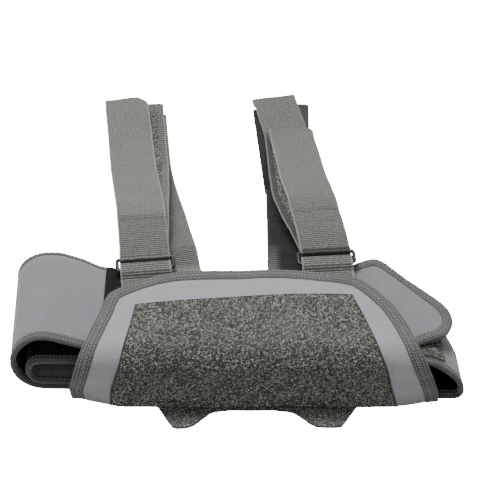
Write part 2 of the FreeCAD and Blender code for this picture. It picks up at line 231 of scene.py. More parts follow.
def shell(name, grid, thick, material, bulge=0.3):
    """Closed sheet of the given thickness on a mid surface, with a rounded rim."""
    nu, nv = grid.shape[:2]
    half = np.broadcast_to(np.asarray(thick, float) / 2, (nu, nv))[..., None]
    normal = grid_normals(grid)
    upper = (grid + normal * half).reshape(-1, 3)
    lower = (grid - normal * half).reshape(-1, 3)
    ring = border(nu, nv)
    edge = grid.reshape(-1, 3)[ring]
    tangent = unit(np.roll(edge, -1, axis=0) - np.roll(edge, 1, axis=0))
    outward = np.cross(tangent, normal.reshape(-1, 3)[ring])
    inner = grid.reshape(nu, nv, 3)[1:-1, 1:-1].reshape(-1, 3).mean(axis=0)
    if np.sum(outward * (edge - inner)) < 0:
        outward = -outward
    rim = edge + outward * half.reshape(-1, 1)[ring] * bulge
    count = nu * nv
    faces = []
    for i in range(nu - 1):
        for j in range(nv - 1):
            a = i * nv + j
            faces.append((a, a + nv, a + nv + 1, a + 1))
            faces.append((count + a, count + a + 1, count + a + nv + 1, count + a + nv))
    size = len(ring)
    for k in range(size):
        after = (k + 1) % size
        faces.append((ring[k], ring[after], 2 * count + after, 2 * count + k))
        faces.append((2 * count + k, 2 * count + after, count + ring[after], count + ring[k]))
    uv = grid_uv(grid).reshape(-1, 2)
    return make_piece(name, np.concatenate((upper, lower, rim)), faces, material,
                      np.concatenate((uv, uv, uv[ring])))


def edge_frame(grid, side):
    """Edge points of a mid surface with the inward direction and the surface normal there."""
    normal = grid_normals(grid)
    pick = {"first": (grid[0], grid[1], normal[0]), "last": (grid[-1], grid[-2], normal[-1]),
            "start": (grid[:, 0], grid[:, 1], normal[:, 0]), "end": (grid[:, -1], grid[:, -2], normal[:, -1])}
    edge, inside, up = pick[side]
    inward = inside - edge
    tangent = unit(np.gradient(edge, axis=0))
    inward = inward - np.sum(inward * tangent, axis=1, keepdims=True) * tangent
    return edge, unit(inward), up


class Cloth:
    """A mid surface that tapes and seams follow: nearest place on it, and the normal there."""

    def __init__(self, grid, up=1.0):
        quads = grid_quads(*grid.shape[:2])
        points = grid.reshape(-1, 3)
        self.tree = BVHTree.FromPolygons(points.tolist(), quads)
        self.normals = unit(grid_normals(grid).reshape(-1, 3)[np.array(quads)].mean(axis=1)) * up

    def under(self, points):
        """Nearest places on the cloth, with softened normals."""
        places = []
        normals = []
        for point in points:
            spot, _, index, _ = self.tree.find_nearest(Vector(point))
            places.append(spot)
            normals.append(self.normals[index])
        normals = np.array(normals)
        padded = np.pad(normals, ((3, 3), (0, 0)), mode="edge")
        soft = np.stack([np.convolve(padded[:, k], np.ones(7) / 7, "valid") for k in range(3)], axis=1)
        return np.array(places), unit(soft)


def joined_frames(frames):
    """Edge frames laid end to end, with softened directions where they meet."""
    edge = np.concatenate([f[0] for f in frames])
    keep = np.concatenate(([True], np.linalg.norm(np.diff(edge, axis=0), axis=1) > 0.05))
    parts = [edge[keep]] + [np.concatenate([f[k] for f in frames])[keep] for k in (1, 2)]
    along = lengths_along(parts[0])
    count = int(along[-1] / 0.9)
    stops = np.linspace(0, along[-1], count)
    out = [np.stack([np.interp(stops, along, p[:, k]) for k in range(3)], axis=1) for p in parts]
    kernel = np.hanning(15) / np.hanning(15).sum()
    for index in (1, 2):
        padded = np.pad(out[index], ((7, 7), (0, 0)), mode="edge")
        out[index] = unit(np.stack([np.convolve(padded[:, k], kernel, "valid") for k in range(3)], axis=1))
    padded = np.pad(out[0], ((7, 7), (0, 0)), mode="reflect", reflect_type="odd")
    out[0] = np.stack([np.convolve(padded[:, k], kernel, "valid") for k in range(3)], axis=1)
    return out


def bound_edges(grid):
    """Edge frames down the left, along the top and down the right of a grid, in one line."""
    left = tuple(part[::-1] for part in edge_frame(grid, "first"))
    return joined_frames([left, edge_frame(grid, "start"), edge_frame(grid, "last")])


def tape(name, frames, cloth, half, width, thick, material, pucker=0.12, seed=0.0):
    """Binding tape folded over an edge: a closed C section swept along it, puckered by its seam."""
    edge, inward, up = frames
    along = lengths_along(edge)
    h = half
    puff = 0.35 * thick
    section = [(width, h + thick * 0.7), (width * 0.93, h + thick), (width * 0.6, h + thick + puff * 0.4),
               (width * 0.3, h + thick + puff), (0.8, h + thick * 0.9), (-thick * 0.55, h * 0.75),
               (-thick, 0.0), (-thick * 0.55, -h * 0.75), (0.8, -h - thick * 0.9),
               (width * 0.5, -h - thick), (width, -h - thick * 0.7),
               (width * 0.98, -h), (0.4, -h * 0.8), (0.15, 0.0), (0.4, h * 0.8), (width * 0.98, h)]
    section = np.array(section)
    swell = np.sin(along * 2 * math.pi / 3.4 + seed) * pucker + wobble(along, 0 * along, seed + 3, 46) * 0.12
    points = []
    lanes = {}
    for a, b in section:
        if a > 1.0 and round(a, 3) not in lanes:
            lanes[round(a, 3)] = cloth.under(edge + inward * a)
    for a, b in section:
        level = (b + np.sign(b) * swell * (abs(b) > h))[:, None]
        base, normal = lanes.get(round(a, 3), (edge + inward * a, up))
        points.append(base + normal * level)
    points = np.stack(points, axis=1)
    count, size = points.shape[:2]
    faces = []
    for i in range(count - 1):
        for j in range(size):
            after = (j + 1) % size
            faces.append((i * size + j, i * size + after, (i + 1) * size + after, (i + 1) * size + j))
    faces.append(tuple(range(size)))
    faces.append(tuple(range((count - 1) * size, count * size))[::-1])
    across = np.concatenate(([0], np.cumsum(np.linalg.norm(np.diff(section, axis=0), axis=1))))
    uv = np.stack([np.broadcast_to(across, (count, size)), np.broadcast_to(along[:, None], (count, size))],
                  axis=2).reshape(-1, 2)
    return make_piece(name, points.reshape(-1, 3), faces, material, uv, 70.0)


def finish_piece(piece, body, nodes=()):
    """Put a piece on its body, in place of the plain nodes that it stands for."""
    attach(piece, body)
    if nodes:
        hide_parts(*nodes)
    return piece


# ------------------------------------------------------------ node trees that repeat small things
def add(tree, kind, settings=(), **inputs):
    """A node with its settings and input values. A value may be another node's output socket."""
    made = tree.nodes.new(kind)
    for key, value in dict(settings).items():
        setattr(made, key, value)
    for key, value in inputs.items():
        numbered = key[0] == "i" and key[1:].isdigit()
        socket = made.inputs[int(key[1:]) if numbered else key.replace("_", " ")]
        if isinstance(value, bpy.types.NodeSocket):
            tree.links.new(value, socket)
        else:
            socket.default_value = value
    return made


def new_tree(name, inputs):
    """An empty geometry tree with its named inputs."""
    tree = bpy.data.node_groups.new(name, "GeometryNodeTree")
    tree.interface.new_socket("Geometry", in_out="INPUT", socket_type="NodeSocketGeometry")
    for label, kind, default in inputs:
        socket = tree.interface.new_socket(label, in_out="INPUT", socket_type=kind)
        if default is not None:
            socket.default_value = default
    tree.interface.new_socket("Geometry", in_out="OUTPUT", socket_type="NodeSocketGeometry")
    return tree, tree.nodes.new("NodeGroupInput").outputs, tree.nodes.new("NodeGroupOutput").inputs


def close_tree(tree, instances, material, result):
    """Turn a tree's instances into real mesh with its material."""
    real = add(tree, "GeometryNodeRealizeInstances", Geometry=instances)
    painted = add(tree, "GeometryNodeSetMaterial", Geometry=real.outputs[0], Material=material)
    tree.links.new(painted.outputs[0], result["Geometry"])


def stitch_tree():
    """Short threads on a line of stitches. Facing is the cloth's normal; slant makes a zigzag."""
    tree, given, result = new_tree("Sewn stitches", (
        ("Pitch", "NodeSocketFloat", 0.003), ("Thread Length", "NodeSocketFloat", 0.0024),
        ("Thread Radius", "NodeSocketFloat", 0.0003), ("Slant", "NodeSocketFloat", 0.0),
        ("Material", "NodeSocketMaterial", None)))
    line = add(tree, "GeometryNodeMeshToCurve", Mesh=given["Geometry"])
    stops = add(tree, "GeometryNodeResampleCurve", {"mode": "LENGTH"}, Curve=line.outputs[0],
                Length=given["Pitch"])
    facing = add(tree, "GeometryNodeInputNamedAttribute", {"data_type": "FLOAT_VECTOR"}, Name="facing")
    way = add(tree, "GeometryNodeInputTangent")
    turn = add(tree, "FunctionNodeAxesToRotation", {"primary_axis": "Z", "secondary_axis": "X"},
               i0=facing.outputs[0], i1=way.outputs[0])
    index = add(tree, "GeometryNodeInputIndex")
    parity = add(tree, "ShaderNodeMath", {"operation": "MODULO"}, i0=index.outputs[0], i1=2.0)
    sign = add(tree, "ShaderNodeMath", {"operation": "MULTIPLY_ADD"}, i0=parity.outputs[0], i1=2.0, i2=-1.0)
    angle = add(tree, "ShaderNodeMath", {"operation": "MULTIPLY"}, i0=sign.outputs[0], i1=given["Slant"])
    spin = add(tree, "ShaderNodeCombineXYZ", Z=angle.outputs[0])
    turned = add(tree, "FunctionNodeRotateRotation", {"rotation_space": "LOCAL"}, i0=turn.outputs[0],
                 i1=add(tree, "FunctionNodeEulerToRotation", i0=spin.outputs[0]).outputs[0])
    half = add(tree, "ShaderNodeMath", {"operation": "MULTIPLY"}, i0=given["Thread Length"], i1=0.5)
    size = add(tree, "ShaderNodeCombineXYZ", X=half.outputs[0], Y=given["Thread Radius"],
               Z=given["Thread Radius"])
    thread = add(tree, "GeometryNodeMeshUVSphere", Segments=6, Rings=5, Radius=1.0)
    copies = add(tree, "GeometryNodeInstanceOnPoints", Points=stops.outputs[0], Instance=thread.outputs[0],
                 Rotation=turned.outputs[0], Scale=size.outputs[0])
    close_tree(tree, copies.outputs[0], given["Material"], result)
    return tree


def pile_tree():
    """Small leaning loops scattered over a pile patch, each with its own shade from 0 to 1."""
    tree, given, result = new_tree("Pile loops", (
        ("Density", "NodeSocketFloat", 200000.0), ("Loop Width", "NodeSocketFloat", 0.0022),
        ("Yarn Radius", "NodeSocketFloat", 0.00022), ("Seed", "NodeSocketInt", 1),
        ("Material", "NodeSocketMaterial", None)))
    spots = add(tree, "GeometryNodeDistributePointsOnFaces", Mesh=given["Geometry"],
                Density=given["Density"], Seed=given["Seed"])
    yarn = add(tree, "GeometryNodeCurveQuadraticBezier", Resolution=4, Start=(-0.5, 0, -0.1),
               Middle=(0.1, 0.15, 1.15), End=(0.5, 0, -0.1))
    scaled = add(tree, "GeometryNodeTransform", Geometry=yarn.outputs[0],
                 Scale=add(tree, "ShaderNodeCombineXYZ", X=given["Loop Width"], Y=given["Loop Width"],
                           Z=given["Loop Width"]).outputs[0])
    ring = add(tree, "GeometryNodeCurvePrimitiveCircle", Resolution=3, Radius=given["Yarn Radius"])
    loop = add(tree, "GeometryNodeCurveToMesh", Curve=scaled.outputs[0], Profile_Curve=ring.outputs[0])
    spin = add(tree, "FunctionNodeRandomValue", {"data_type": "FLOAT_VECTOR"}, i0=(-0.7, -0.7, -3.14),
               i1=(0.7, 0.7, 3.14), Seed=given["Seed"])
    turned = add(tree, "FunctionNodeRotateRotation", {"rotation_space": "LOCAL"},
                 i0=spots.outputs["Rotation"],
                 i1=add(tree, "FunctionNodeEulerToRotation", i0=spin.outputs[0]).outputs[0])
    size = add(tree, "FunctionNodeRandomValue", {"data_type": "FLOAT"}, Seed=7)
    size.inputs[2].default_value = 0.65
    size.inputs[3].default_value = 1.35
    copies = add(tree, "GeometryNodeInstanceOnPoints", Points=spots.outputs["Points"],
                 Instance=loop.outputs[0], Rotation=turned.outputs[0], Scale=size.outputs[1])
    shade = add(tree, "FunctionNodeRandomValue", {"data_type": "FLOAT"}, Seed=11)
    marked = add(tree, "GeometryNodeStoreNamedAttribute", {"data_type": "FLOAT", "domain": "INSTANCE"},
                 Geometry=copies.outputs[0], Name="yarn_shade", Value=shade.outputs[1])
    close_tree(tree, marked.outputs[0], given["Material"], result)
    return tree


def grow(piece, tree, values):
    """Run a node tree on a piece and keep the result as its plain mesh."""
    modifier = piece.modifiers.new(tree.name, "NODES")
    modifier.node_group = tree
    for item in tree.interface.items_tree:
        if item.item_type == "SOCKET" and item.in_out == "INPUT" and item.name in values:
            modifier[item.identifier] = values[item.name]
    bpy.context.view_layer.update()
    made = bpy.data.meshes.new_from_object(piece.evaluated_get(bpy.context.evaluated_depsgraph_get()))
    piece.modifiers.clear()
    piece.data = made
    made.shade_smooth()
    return piece


def stitch_rows(name, rows, values):
    """One object of sewn stitches from lines of points with their normals, in drawing millimetres."""
    points = []
    facing = []
    edges = []
    for line, normal in rows:
        base = len(points)
        points += list(line)
        facing += list(normal)
        edges += [(base + k, base + k + 1) for k in range(len(line) - 1)]
    mesh = bpy.data.meshes.new(name)
    mesh.from_pydata(place(points).tolist(), edges, [])
    mesh.attributes.new("facing", "FLOAT_VECTOR", "POINT").data.foreach_set("vector", np.ravel(facing))
    piece = bpy.data.objects.new(name, mesh)
    bpy.context.scene.collection.objects.link(piece)
    return grow(piece, bpy.data.node_groups["Sewn stitches"], values)


def seam_values(material, pitch, length, radius, slant=0.0):
    """Inputs of the stitch tree, from millimetres and degrees."""
    return {"Pitch": pitch * MM, "Thread Length": length * MM, "Thread Radius": radius * MM,
            "Slant": math.radians(slant), "Material": material}


def tape_row(frames, cloth, inset, height):
    """Line of stitches on a binding tape, inset from its edge."""
    edge, inward, _ = frames
    base, normal = cloth.under(edge + inward * inset)
    return base + normal * height, normal * (1 if height > 0 else -1)


def turned_over(frames):
    """The same edge with its other face up."""
    return frames[0], frames[1], -frames[2]


def pile_cover(name, grid, thick, material, density, seed, width):
    """The loops that stand on a patch's upper face."""
    top = grid + grid_normals(grid) * thick / 2
    mesh = bpy.data.meshes.new(name)
    mesh.from_pydata(place(top.reshape(-1, 3)).tolist(), [], grid_quads(*top.shape[:2]))
    piece = bpy.data.objects.new(name, mesh)
    bpy.context.scene.collection.objects.link(piece)
    return grow(piece, bpy.data.node_groups["Pile loops"],
                {"Density": density, "Loop Width": width * MM, "Yarn Radius": 0.21 * MM, "Seed": seed,
                 "Material": material})


# ------------------------------------------------------------ finishes
def tone(red, green, blue):
    """Display colour, 0 to 255, to the linear colour that shaders take."""
    values = [c / 255 for c in (red, green, blue)]
    return tuple([v / 12.92 if v < 0.04045 else ((v + 0.055) / 1.055) ** 2.4 for v in values] + [1.0])


def shaded(colour, share):
    """The colour made darker, or lighter where share is over 1."""
    return tuple([min(1.0, c * share) for c in colour[:3]] + [1.0])


def new_group(name, inputs, outputs):
    """An empty shader group with its named inputs and outputs."""
    tree = bpy.data.node_groups.new(name, "ShaderNodeTree")
    for label, kind, default in inputs:
        socket = tree.interface.new_socket(label, in_out="INPUT", socket_type=kind)
        if default is not None:
            socket.default_value = default
    for label, kind in outputs:
        tree.interface.new_socket(label, in_out="OUTPUT", socket_type=kind)
    return tree, tree.nodes.new("NodeGroupInput").outputs, tree.nodes.new("NodeGroupOutput").inputs


def math_node(tree, operation, first, second=0.0, third=0.0):
    """Output of one sum on numbers or sockets."""
    return add(tree, "ShaderNodeMath", {"operation": operation}, i0=first, i1=second, i2=third).outputs[0]


def make_weave_group():
    """Yarns that cross over and under each other, on a position in metres along the cloth."""
    tree, given, result = new_group("Yarn weave", (
        ("Position", "NodeSocketVector", None), ("Across Pitch", "NodeSocketFloat", 0.001),
        ("Along Pitch", "NodeSocketFloat", 0.001)), (("Height", "NodeSocketFloat"),))
    place_on = add(tree, "ShaderNodeSeparateXYZ", i0=given["Position"])
    waves = []
    for axis, pitch in ((0, "Across Pitch"), (1, "Along Pitch")):
        turns = math_node(tree, "DIVIDE", place_on.outputs[axis], given[pitch])
        waves.append(math_node(tree, "SINE", math_node(tree, "MULTIPLY", turns, 2 * math.pi)))
    crossing = math_node(tree, "MULTIPLY", waves[0], waves[1])
    tree.links.new(math_node(tree, "MULTIPLY_ADD", crossing, 0.5, 0.5), result["Height"])


def make_rib_group():
    """Raised cross ribs, and pale selvedge bands at both edges of a webbing, a painted highlight where its
    edges catch light.
    """
    tree, given, result = new_group("Webbing ribs", (
        ("Position", "NodeSocketVector", None), ("Rib Pitch", "NodeSocketFloat", 0.002),
        ("Width", "NodeSocketFloat", 0.05), ("Fade Start", "NodeSocketFloat", 9.0),
        ("Fade End", "NodeSocketFloat", 10.0)),
        (("Ribs", "NodeSocketFloat"), ("Selvedge", "NodeSocketFloat")))
    place_on = add(tree, "ShaderNodeSeparateXYZ", i0=given["Position"])
    turns = math_node(tree, "DIVIDE", place_on.outputs[1], given["Rib Pitch"])
    wave = math_node(tree, "COSINE", math_node(tree, "MULTIPLY", turns, 2 * math.pi))
    fade = add(tree, "ShaderNodeMapRange", Value=place_on.outputs[1], From_Min=given["Fade Start"],
               From_Max=given["Fade End"], To_Min=1.0, To_Max=0.22)
    height = math_node(tree, "MULTIPLY_ADD", wave, 0.6, -0.15)
    tree.links.new(math_node(tree, "MULTIPLY_ADD", height, fade.outputs[0], 0.65), result["Ribs"])
    middle = math_node(tree, "MULTIPLY", given["Width"], 0.5)
    off = math_node(tree, "ABSOLUTE", math_node(tree, "SUBTRACT", place_on.outputs[0], middle))
    to_edge = math_node(tree, "SUBTRACT", middle, off)
    edge = add(tree, "ShaderNodeMapRange", Value=to_edge, From_Min=0.0016, From_Max=0.0008, To_Min=0.0,
               To_Max=1.0)
    tree.links.new(edge.outputs[0], result["Selvedge"])


def make_mottle_group():
    """Uneven dye: a fine grain and a slow drift of shade around a colour, with pale flecks."""
    tree, given, result = new_group("Uneven dye", (
        ("Position", "NodeSocketVector", None), ("Colour", "NodeSocketColor", (0.2, 0.2, 0.2, 1)),
        ("Grain Size", "NodeSocketFloat", 0.001), ("Grain", "NodeSocketFloat", 0.3),
        ("Drift", "NodeSocketFloat", 0.1), ("Flecks", "NodeSocketFloat", 0.0)),
        (("Colour", "NodeSocketColor"), ("Grain", "NodeSocketFloat")))
    fine = math_node(tree, "DIVIDE", 1.0, given["Grain Size"])
    grain = add(tree, "ShaderNodeTexNoise", Vector=given["Position"], Scale=fine, Detail=3.0, Roughness=0.6)
    drift = add(tree, "ShaderNodeTexNoise", Vector=given["Position"], Scale=26.0, Detail=2.0)
    fleck_scale = math_node(tree, "MULTIPLY", fine, 1.4)
    fleck = add(tree, "ShaderNodeTexNoise", Vector=given["Position"], Scale=fleck_scale,
                Detail=1.0)
    spots = add(tree, "ShaderNodeMapRange", Value=fleck.outputs[0], From_Min=0.62, From_Max=0.72)
    one = math_node(tree, "MULTIPLY", math_node(tree, "SUBTRACT", grain.outputs[0], 0.5), given["Grain"])
    two = math_node(tree, "MULTIPLY", math_node(tree, "SUBTRACT", drift.outputs[0], 0.5), given["Drift"])
    three = math_node(tree, "MULTIPLY", spots.outputs[0], given["Flecks"])
    total = math_node(tree, "ADD", math_node(tree, "ADD", one, two), three)
    level = math_node(tree, "MAXIMUM", math_node(tree, "MULTIPLY_ADD", total, 2.0, 1.0), 0.05)
    scaled = add(tree, "ShaderNodeVectorMath", {"operation": "SCALE"}, i0=given["Colour"], Scale=level)
    tree.links.new(scaled.outputs[0], result["Colour"])
    tree.links.new(grain.outputs[0], result["Grain"])


class Finish:
    """A material being made: its Principled shader and the group nodes that feed it."""

    def __init__(self, name, rough, sheen=0.0, coat=0.0, metallic=0.0, specular=0.35):
        self.material = bpy.data.materials.new(name)
        self.material.use_nodes = True
        self.tree = self.material.node_tree
        self.shader = self.tree.nodes["Principled BSDF"]
        for key, value in (("Roughness", rough), ("Sheen Weight", sheen), ("Sheen Roughness", 0.45),
                           ("Coat Weight", coat), ("Metallic", metallic), ("Specular IOR Level", specular)):
            self.shader.inputs[key].default_value = value

    def cloth_position(self):
        return self.tree.nodes.new("ShaderNodeUVMap").outputs[0]

    def object_position(self):
        return self.tree.nodes.new("ShaderNodeTexCoord").outputs["Object"]

    def group(self, name, **inputs):
        node = self.tree.nodes.new("ShaderNodeGroup")
        node.node_tree = bpy.data.node_groups[name]
        for key, value in inputs.items():
            socket = node.inputs[key.replace("_", " ")]
            if isinstance(value, bpy.types.NodeSocket):
                self.tree.links.new(value, socket)
            else:
                socket.default_value = value
        return node.outputs

    def mix(self, factor, first, second, blend="MIX"):
        node = self.tree.nodes.new("ShaderNodeMix")
        node.data_type = "RGBA"
        node.blend_type = blend
        for index, value in ((0, factor), (6, first), (7, second)):
            if isinstance(value, bpy.types.NodeSocket):
                self.tree.links.new(value, node.inputs[index])
            else:
                node.inputs[index].default_value = value
        return node.outputs[2]

    def colour(self, socket):
        self.tree.links.new(socket, self.shader.inputs["Base Color"])

    def bump(self, height, depth, strength=0.6):
        node = add(self.tree, "ShaderNodeBump", Height=height, Distance=depth, Strength=strength)
        self.tree.links.new(node.outputs[0], self.shader.inputs["Normal"])


def knit_finish(name, colour, column, row, depth, grain, columns_shown):
    """Brushed knit laminated to foam: faint columns of dashes under a soft nap."""
    made = Finish(name, 0.92, sheen=0.25, specular=0.2)
    at = made.cloth_position()
    dyed = made.group("Uneven dye", Position=at, Colour=colour, Grain_Size=0.0016, Grain=grain, Drift=0.1)
    weave = made.group("Yarn weave", Position=at, Across_Pitch=column, Along_Pitch=row)[0]
    darker = made.mix(columns_shown, dyed[0], (0.25, 0.25, 0.25, 1.0), "MULTIPLY")
    made.colour(made.mix(weave, darker, dyed[0]))
    made.bump(math_node(made.tree, "ADD", weave, dyed[1]), depth)
    return made.material


def webbing_finish(name, colour, pitch, fade_start, fade_end, other=None, change=(0.3, 0.315), pale=None,
                   corner=None):
    """Elastic webbing: cross ribs with painted shade in the grooves between them, a tight fine weave
    and pale selvedges painted as a highlight where the edges catch light.
    Where other is given, the webbing turns to that colour along its length, painted shade over part
    of a run; corner is the colour of its first corner, a painted patch of light."""
    made = Finish(name, 0.82, sheen=0.12, specular=0.3)
    at = made.cloth_position()
    # other: a second colour along the length, so painted shade covers only part of a run
    if other is not None:
        along = add(made.tree, "ShaderNodeSeparateXYZ", i0=at).outputs[1]
        share = add(made.tree, "ShaderNodeMapRange", Value=along, From_Min=change[0], From_Max=change[1])
        colour_now = made.mix(share.outputs[0], colour, other)
    else:
        colour_now = colour
    # painted light: a paler patch in the webbing's first corner, near its start and one edge
    if corner is not None:
        spot = add(made.tree, "ShaderNodeSeparateXYZ", i0=at)
        lit_corner_across = add(made.tree, "ShaderNodeMapRange", Value=spot.outputs[0], From_Min=0.014,
                        From_Max=0.007)
        lit_corner_along = add(made.tree, "ShaderNodeMapRange", Value=spot.outputs[1], From_Min=0.085,
                         From_Max=0.05)
        both = math_node(made.tree, "MULTIPLY", lit_corner_across.outputs[0], lit_corner_along.outputs[0])
        colour_now = made.mix(both, colour_now, corner)
    ribs = made.group("Webbing ribs", Position=at, Rib_Pitch=pitch, Fade_Start=fade_start, Fade_End=fade_end)
    dyed = made.group("Uneven dye", Position=at, Colour=colour_now, Grain_Size=0.0019, Grain=1.5,
                      Drift=0.12, Flecks=0.35)
    weave = made.group("Yarn weave", Position=at, Across_Pitch=0.0011, Along_Pitch=0.0011)[0]
    # painted shade: the grooves between the cross ribs are darkened to a fifth of the colour
    painted_groove_shade = shaded(colour, 0.2)
    ribbed = made.mix(math_node(made.tree, "MULTIPLY_ADD", ribs[0], 0.8, 0.2), painted_groove_shade, dyed[0])
    # painted highlight: the pale colour of the bands along both edges of the webbing
    pale = pale or shaded(colour, 1.7)
    soft = math_node(made.tree, "MULTIPLY", ribs[1], 0.7)
    made.colour(made.mix(soft, ribbed, pale))
    height = math_node(made.tree, "MULTIPLY_ADD", ribs[0], 0.8, math_node(made.tree, "MULTIPLY", weave, 0.5))
    made.bump(height, 0.0004, 0.7)
    return made.material


def tape_finish(name, colour):
    """Ribbed binding tape of uneven dye with pale flecks, darker between its yarns."""
    made = Finish(name, 0.85, sheen=0.15, specular=0.3)
    at = made.cloth_position()
    dyed = made.group("Uneven dye", Position=at, Colour=colour, Grain_Size=0.0012, Grain=0.7, Drift=0.25,
                      Flecks=0.2)
    weave = made.group("Yarn weave", Position=at, Across_Pitch=0.0016, Along_Pitch=0.0012)[0]
    dark = shaded(colour, 0.35)
    made.colour(made.mix(math_node(made.tree, "MULTIPLY_ADD", weave, 0.5, 0.5), dark, dyed[0]))
    made.bump(weave, 0.0003)
    return made.material


def pile_finish(name, dark, pale, yarn):
    """Looped pile: each loop has its own shade between two colours."""
    made = Finish(name, 0.9, sheen=0.2, specular=0.25)
    if yarn:
        given = made.tree.nodes.new("ShaderNodeAttribute")
        given.attribute_name = "yarn_shade"
        share = math_node(made.tree, "POWER", given.outputs["Fac"], 1.6)
        drift = made.group("Uneven dye", Position=made.object_position(), Colour=pale, Grain_Size=0.0015,
                           Grain=0.5, Drift=0.15)
        made.colour(made.mix(share, dark, drift[0]))
        return made.material
    dyed = made.group("Uneven dye", Position=made.object_position(), Colour=dark, Grain_Size=0.0008,
                      Grain=0.9, Drift=0.15)
    made.colour(dyed[0])
    made.bump(dyed[1], 0.0008, 0.8)
    return made.material


def plain_cloth_finish(name, colour, grain_size, depth, rough=0.93, flecks=0.0):
    """Cloth or thread of one colour with a fine grain."""
    made = Finish(name, rough, sheen=0.1, specular=0.2)
    dyed = made.group("Uneven dye", Position=made.object_position(), Colour=colour, Grain_Size=grain_size,
                      Grain=0.5, Drift=0.2, Flecks=flecks)
    made.colour(dyed[0])
    made.bump(dyed[1], depth)
    return made.material


def ring_finish(name, colour):
    """Black enamelled wire, a little uneven in shade and roughness."""
    made = Finish(name, 0.5, coat=0.15, specular=0.35)
    dyed = made.group("Uneven dye", Position=made.object_position(), Colour=colour, Grain_Size=0.006,
                      Grain=0.6, Drift=0.3)
    made.colour(dyed[0])
    rough = add(made.tree, "ShaderNodeMapRange", Value=dyed[1], From_Min=0.3, From_Max=0.7, To_Min=0.38,
                To_Max=0.6)
    made.tree.links.new(rough.outputs[0], made.shader.inputs["Roughness"])
    made.bump(dyed[1], 0.0001, 0.3)
    return made.material


def finish_named(name):
    """A finish that has been made already."""
    return bpy.data.materials[name]


ALL_RIBBED = (9.0, 10.0)      # metres along, past the end of any webbing


# ------------------------------------------------------------ settings
def size_setting(label, text, value, low, high):
    """A length that the sidebar shows, in metres."""
    return FloatProperty(name=label, description=text, default=value, min=low, max=high, unit="LENGTH",
                         precision=5)


def colour_setting(label, text, value):
    """A colour that the sidebar shows."""
    return FloatVectorProperty(name=label, description=text, default=value[:3], size=3, subtype="COLOR",
                               min=0.0, max=1.0)


class SlingSizes(bpy.types.PropertyGroup):
    """Sizes of the sling's ribs, stitches and pile"""
    rib_pitch: size_setting("Rib pitch", "Distance between the straps' cross ribs", 0.003, 0.001, 0.005)
    rib_depth: size_setting("Rib depth", "How far the cross ribs stand up", 0.0004, 0.0, 0.001)
    stitch_pitch: size_setting("Stitch pitch", "Distance between seam stitches", 0.0034, 0.002, 0.008)
    thread: size_setting("Thread radius", "Radius of the sewing thread", 0.0003, 0.0001, 0.001)
    loop_width: size_setting("Pile loop", "Width of one loop of the pile", 0.0018, 0.001, 0.005)
    pile_seed: IntProperty(name="Pile seed", description="Chooses how the pile's loops fall", default=4)


class SlingColours(bpy.types.PropertyGroup):
    """Colours of the sling's cloths, webbing, thread and pile"""
    cloth: colour_setting("Belt cloth", "Brushed knit of the belt and tongue", tone(122, 124, 127))
    border: colour_setting("Front cloth", "Smooth knit of the pouch's front", tone(142, 144, 147))
    webbing: colour_setting("Webbing", "Elastic webbing of the straps", tone(101, 102, 96))
    pile: colour_setting("Pile", "Pale loops of the pile patches", tone(204, 207, 196))
    pile_shadow: colour_setting("Pile shadow", "Dark loops of the pile patches", tone(42, 44, 40))
    binding: colour_setting("Binding", "Tape sewn round the edges", tone(82, 82, 81))
    lining: colour_setting("Lining", "Inner face of the belt and pouch", tone(15, 15, 16))
    thread: colour_setting("Thread", "Sewing thread", tone(150, 150, 146))
    ring: colour_setting("Rings", "Wire of the rings", tone(22, 22, 24))


def picked(name):
    """The colour chosen in the sidebar, with full opacity."""
    return tuple(getattr(bpy.context.scene.sling_colours, name)) + (1.0,)


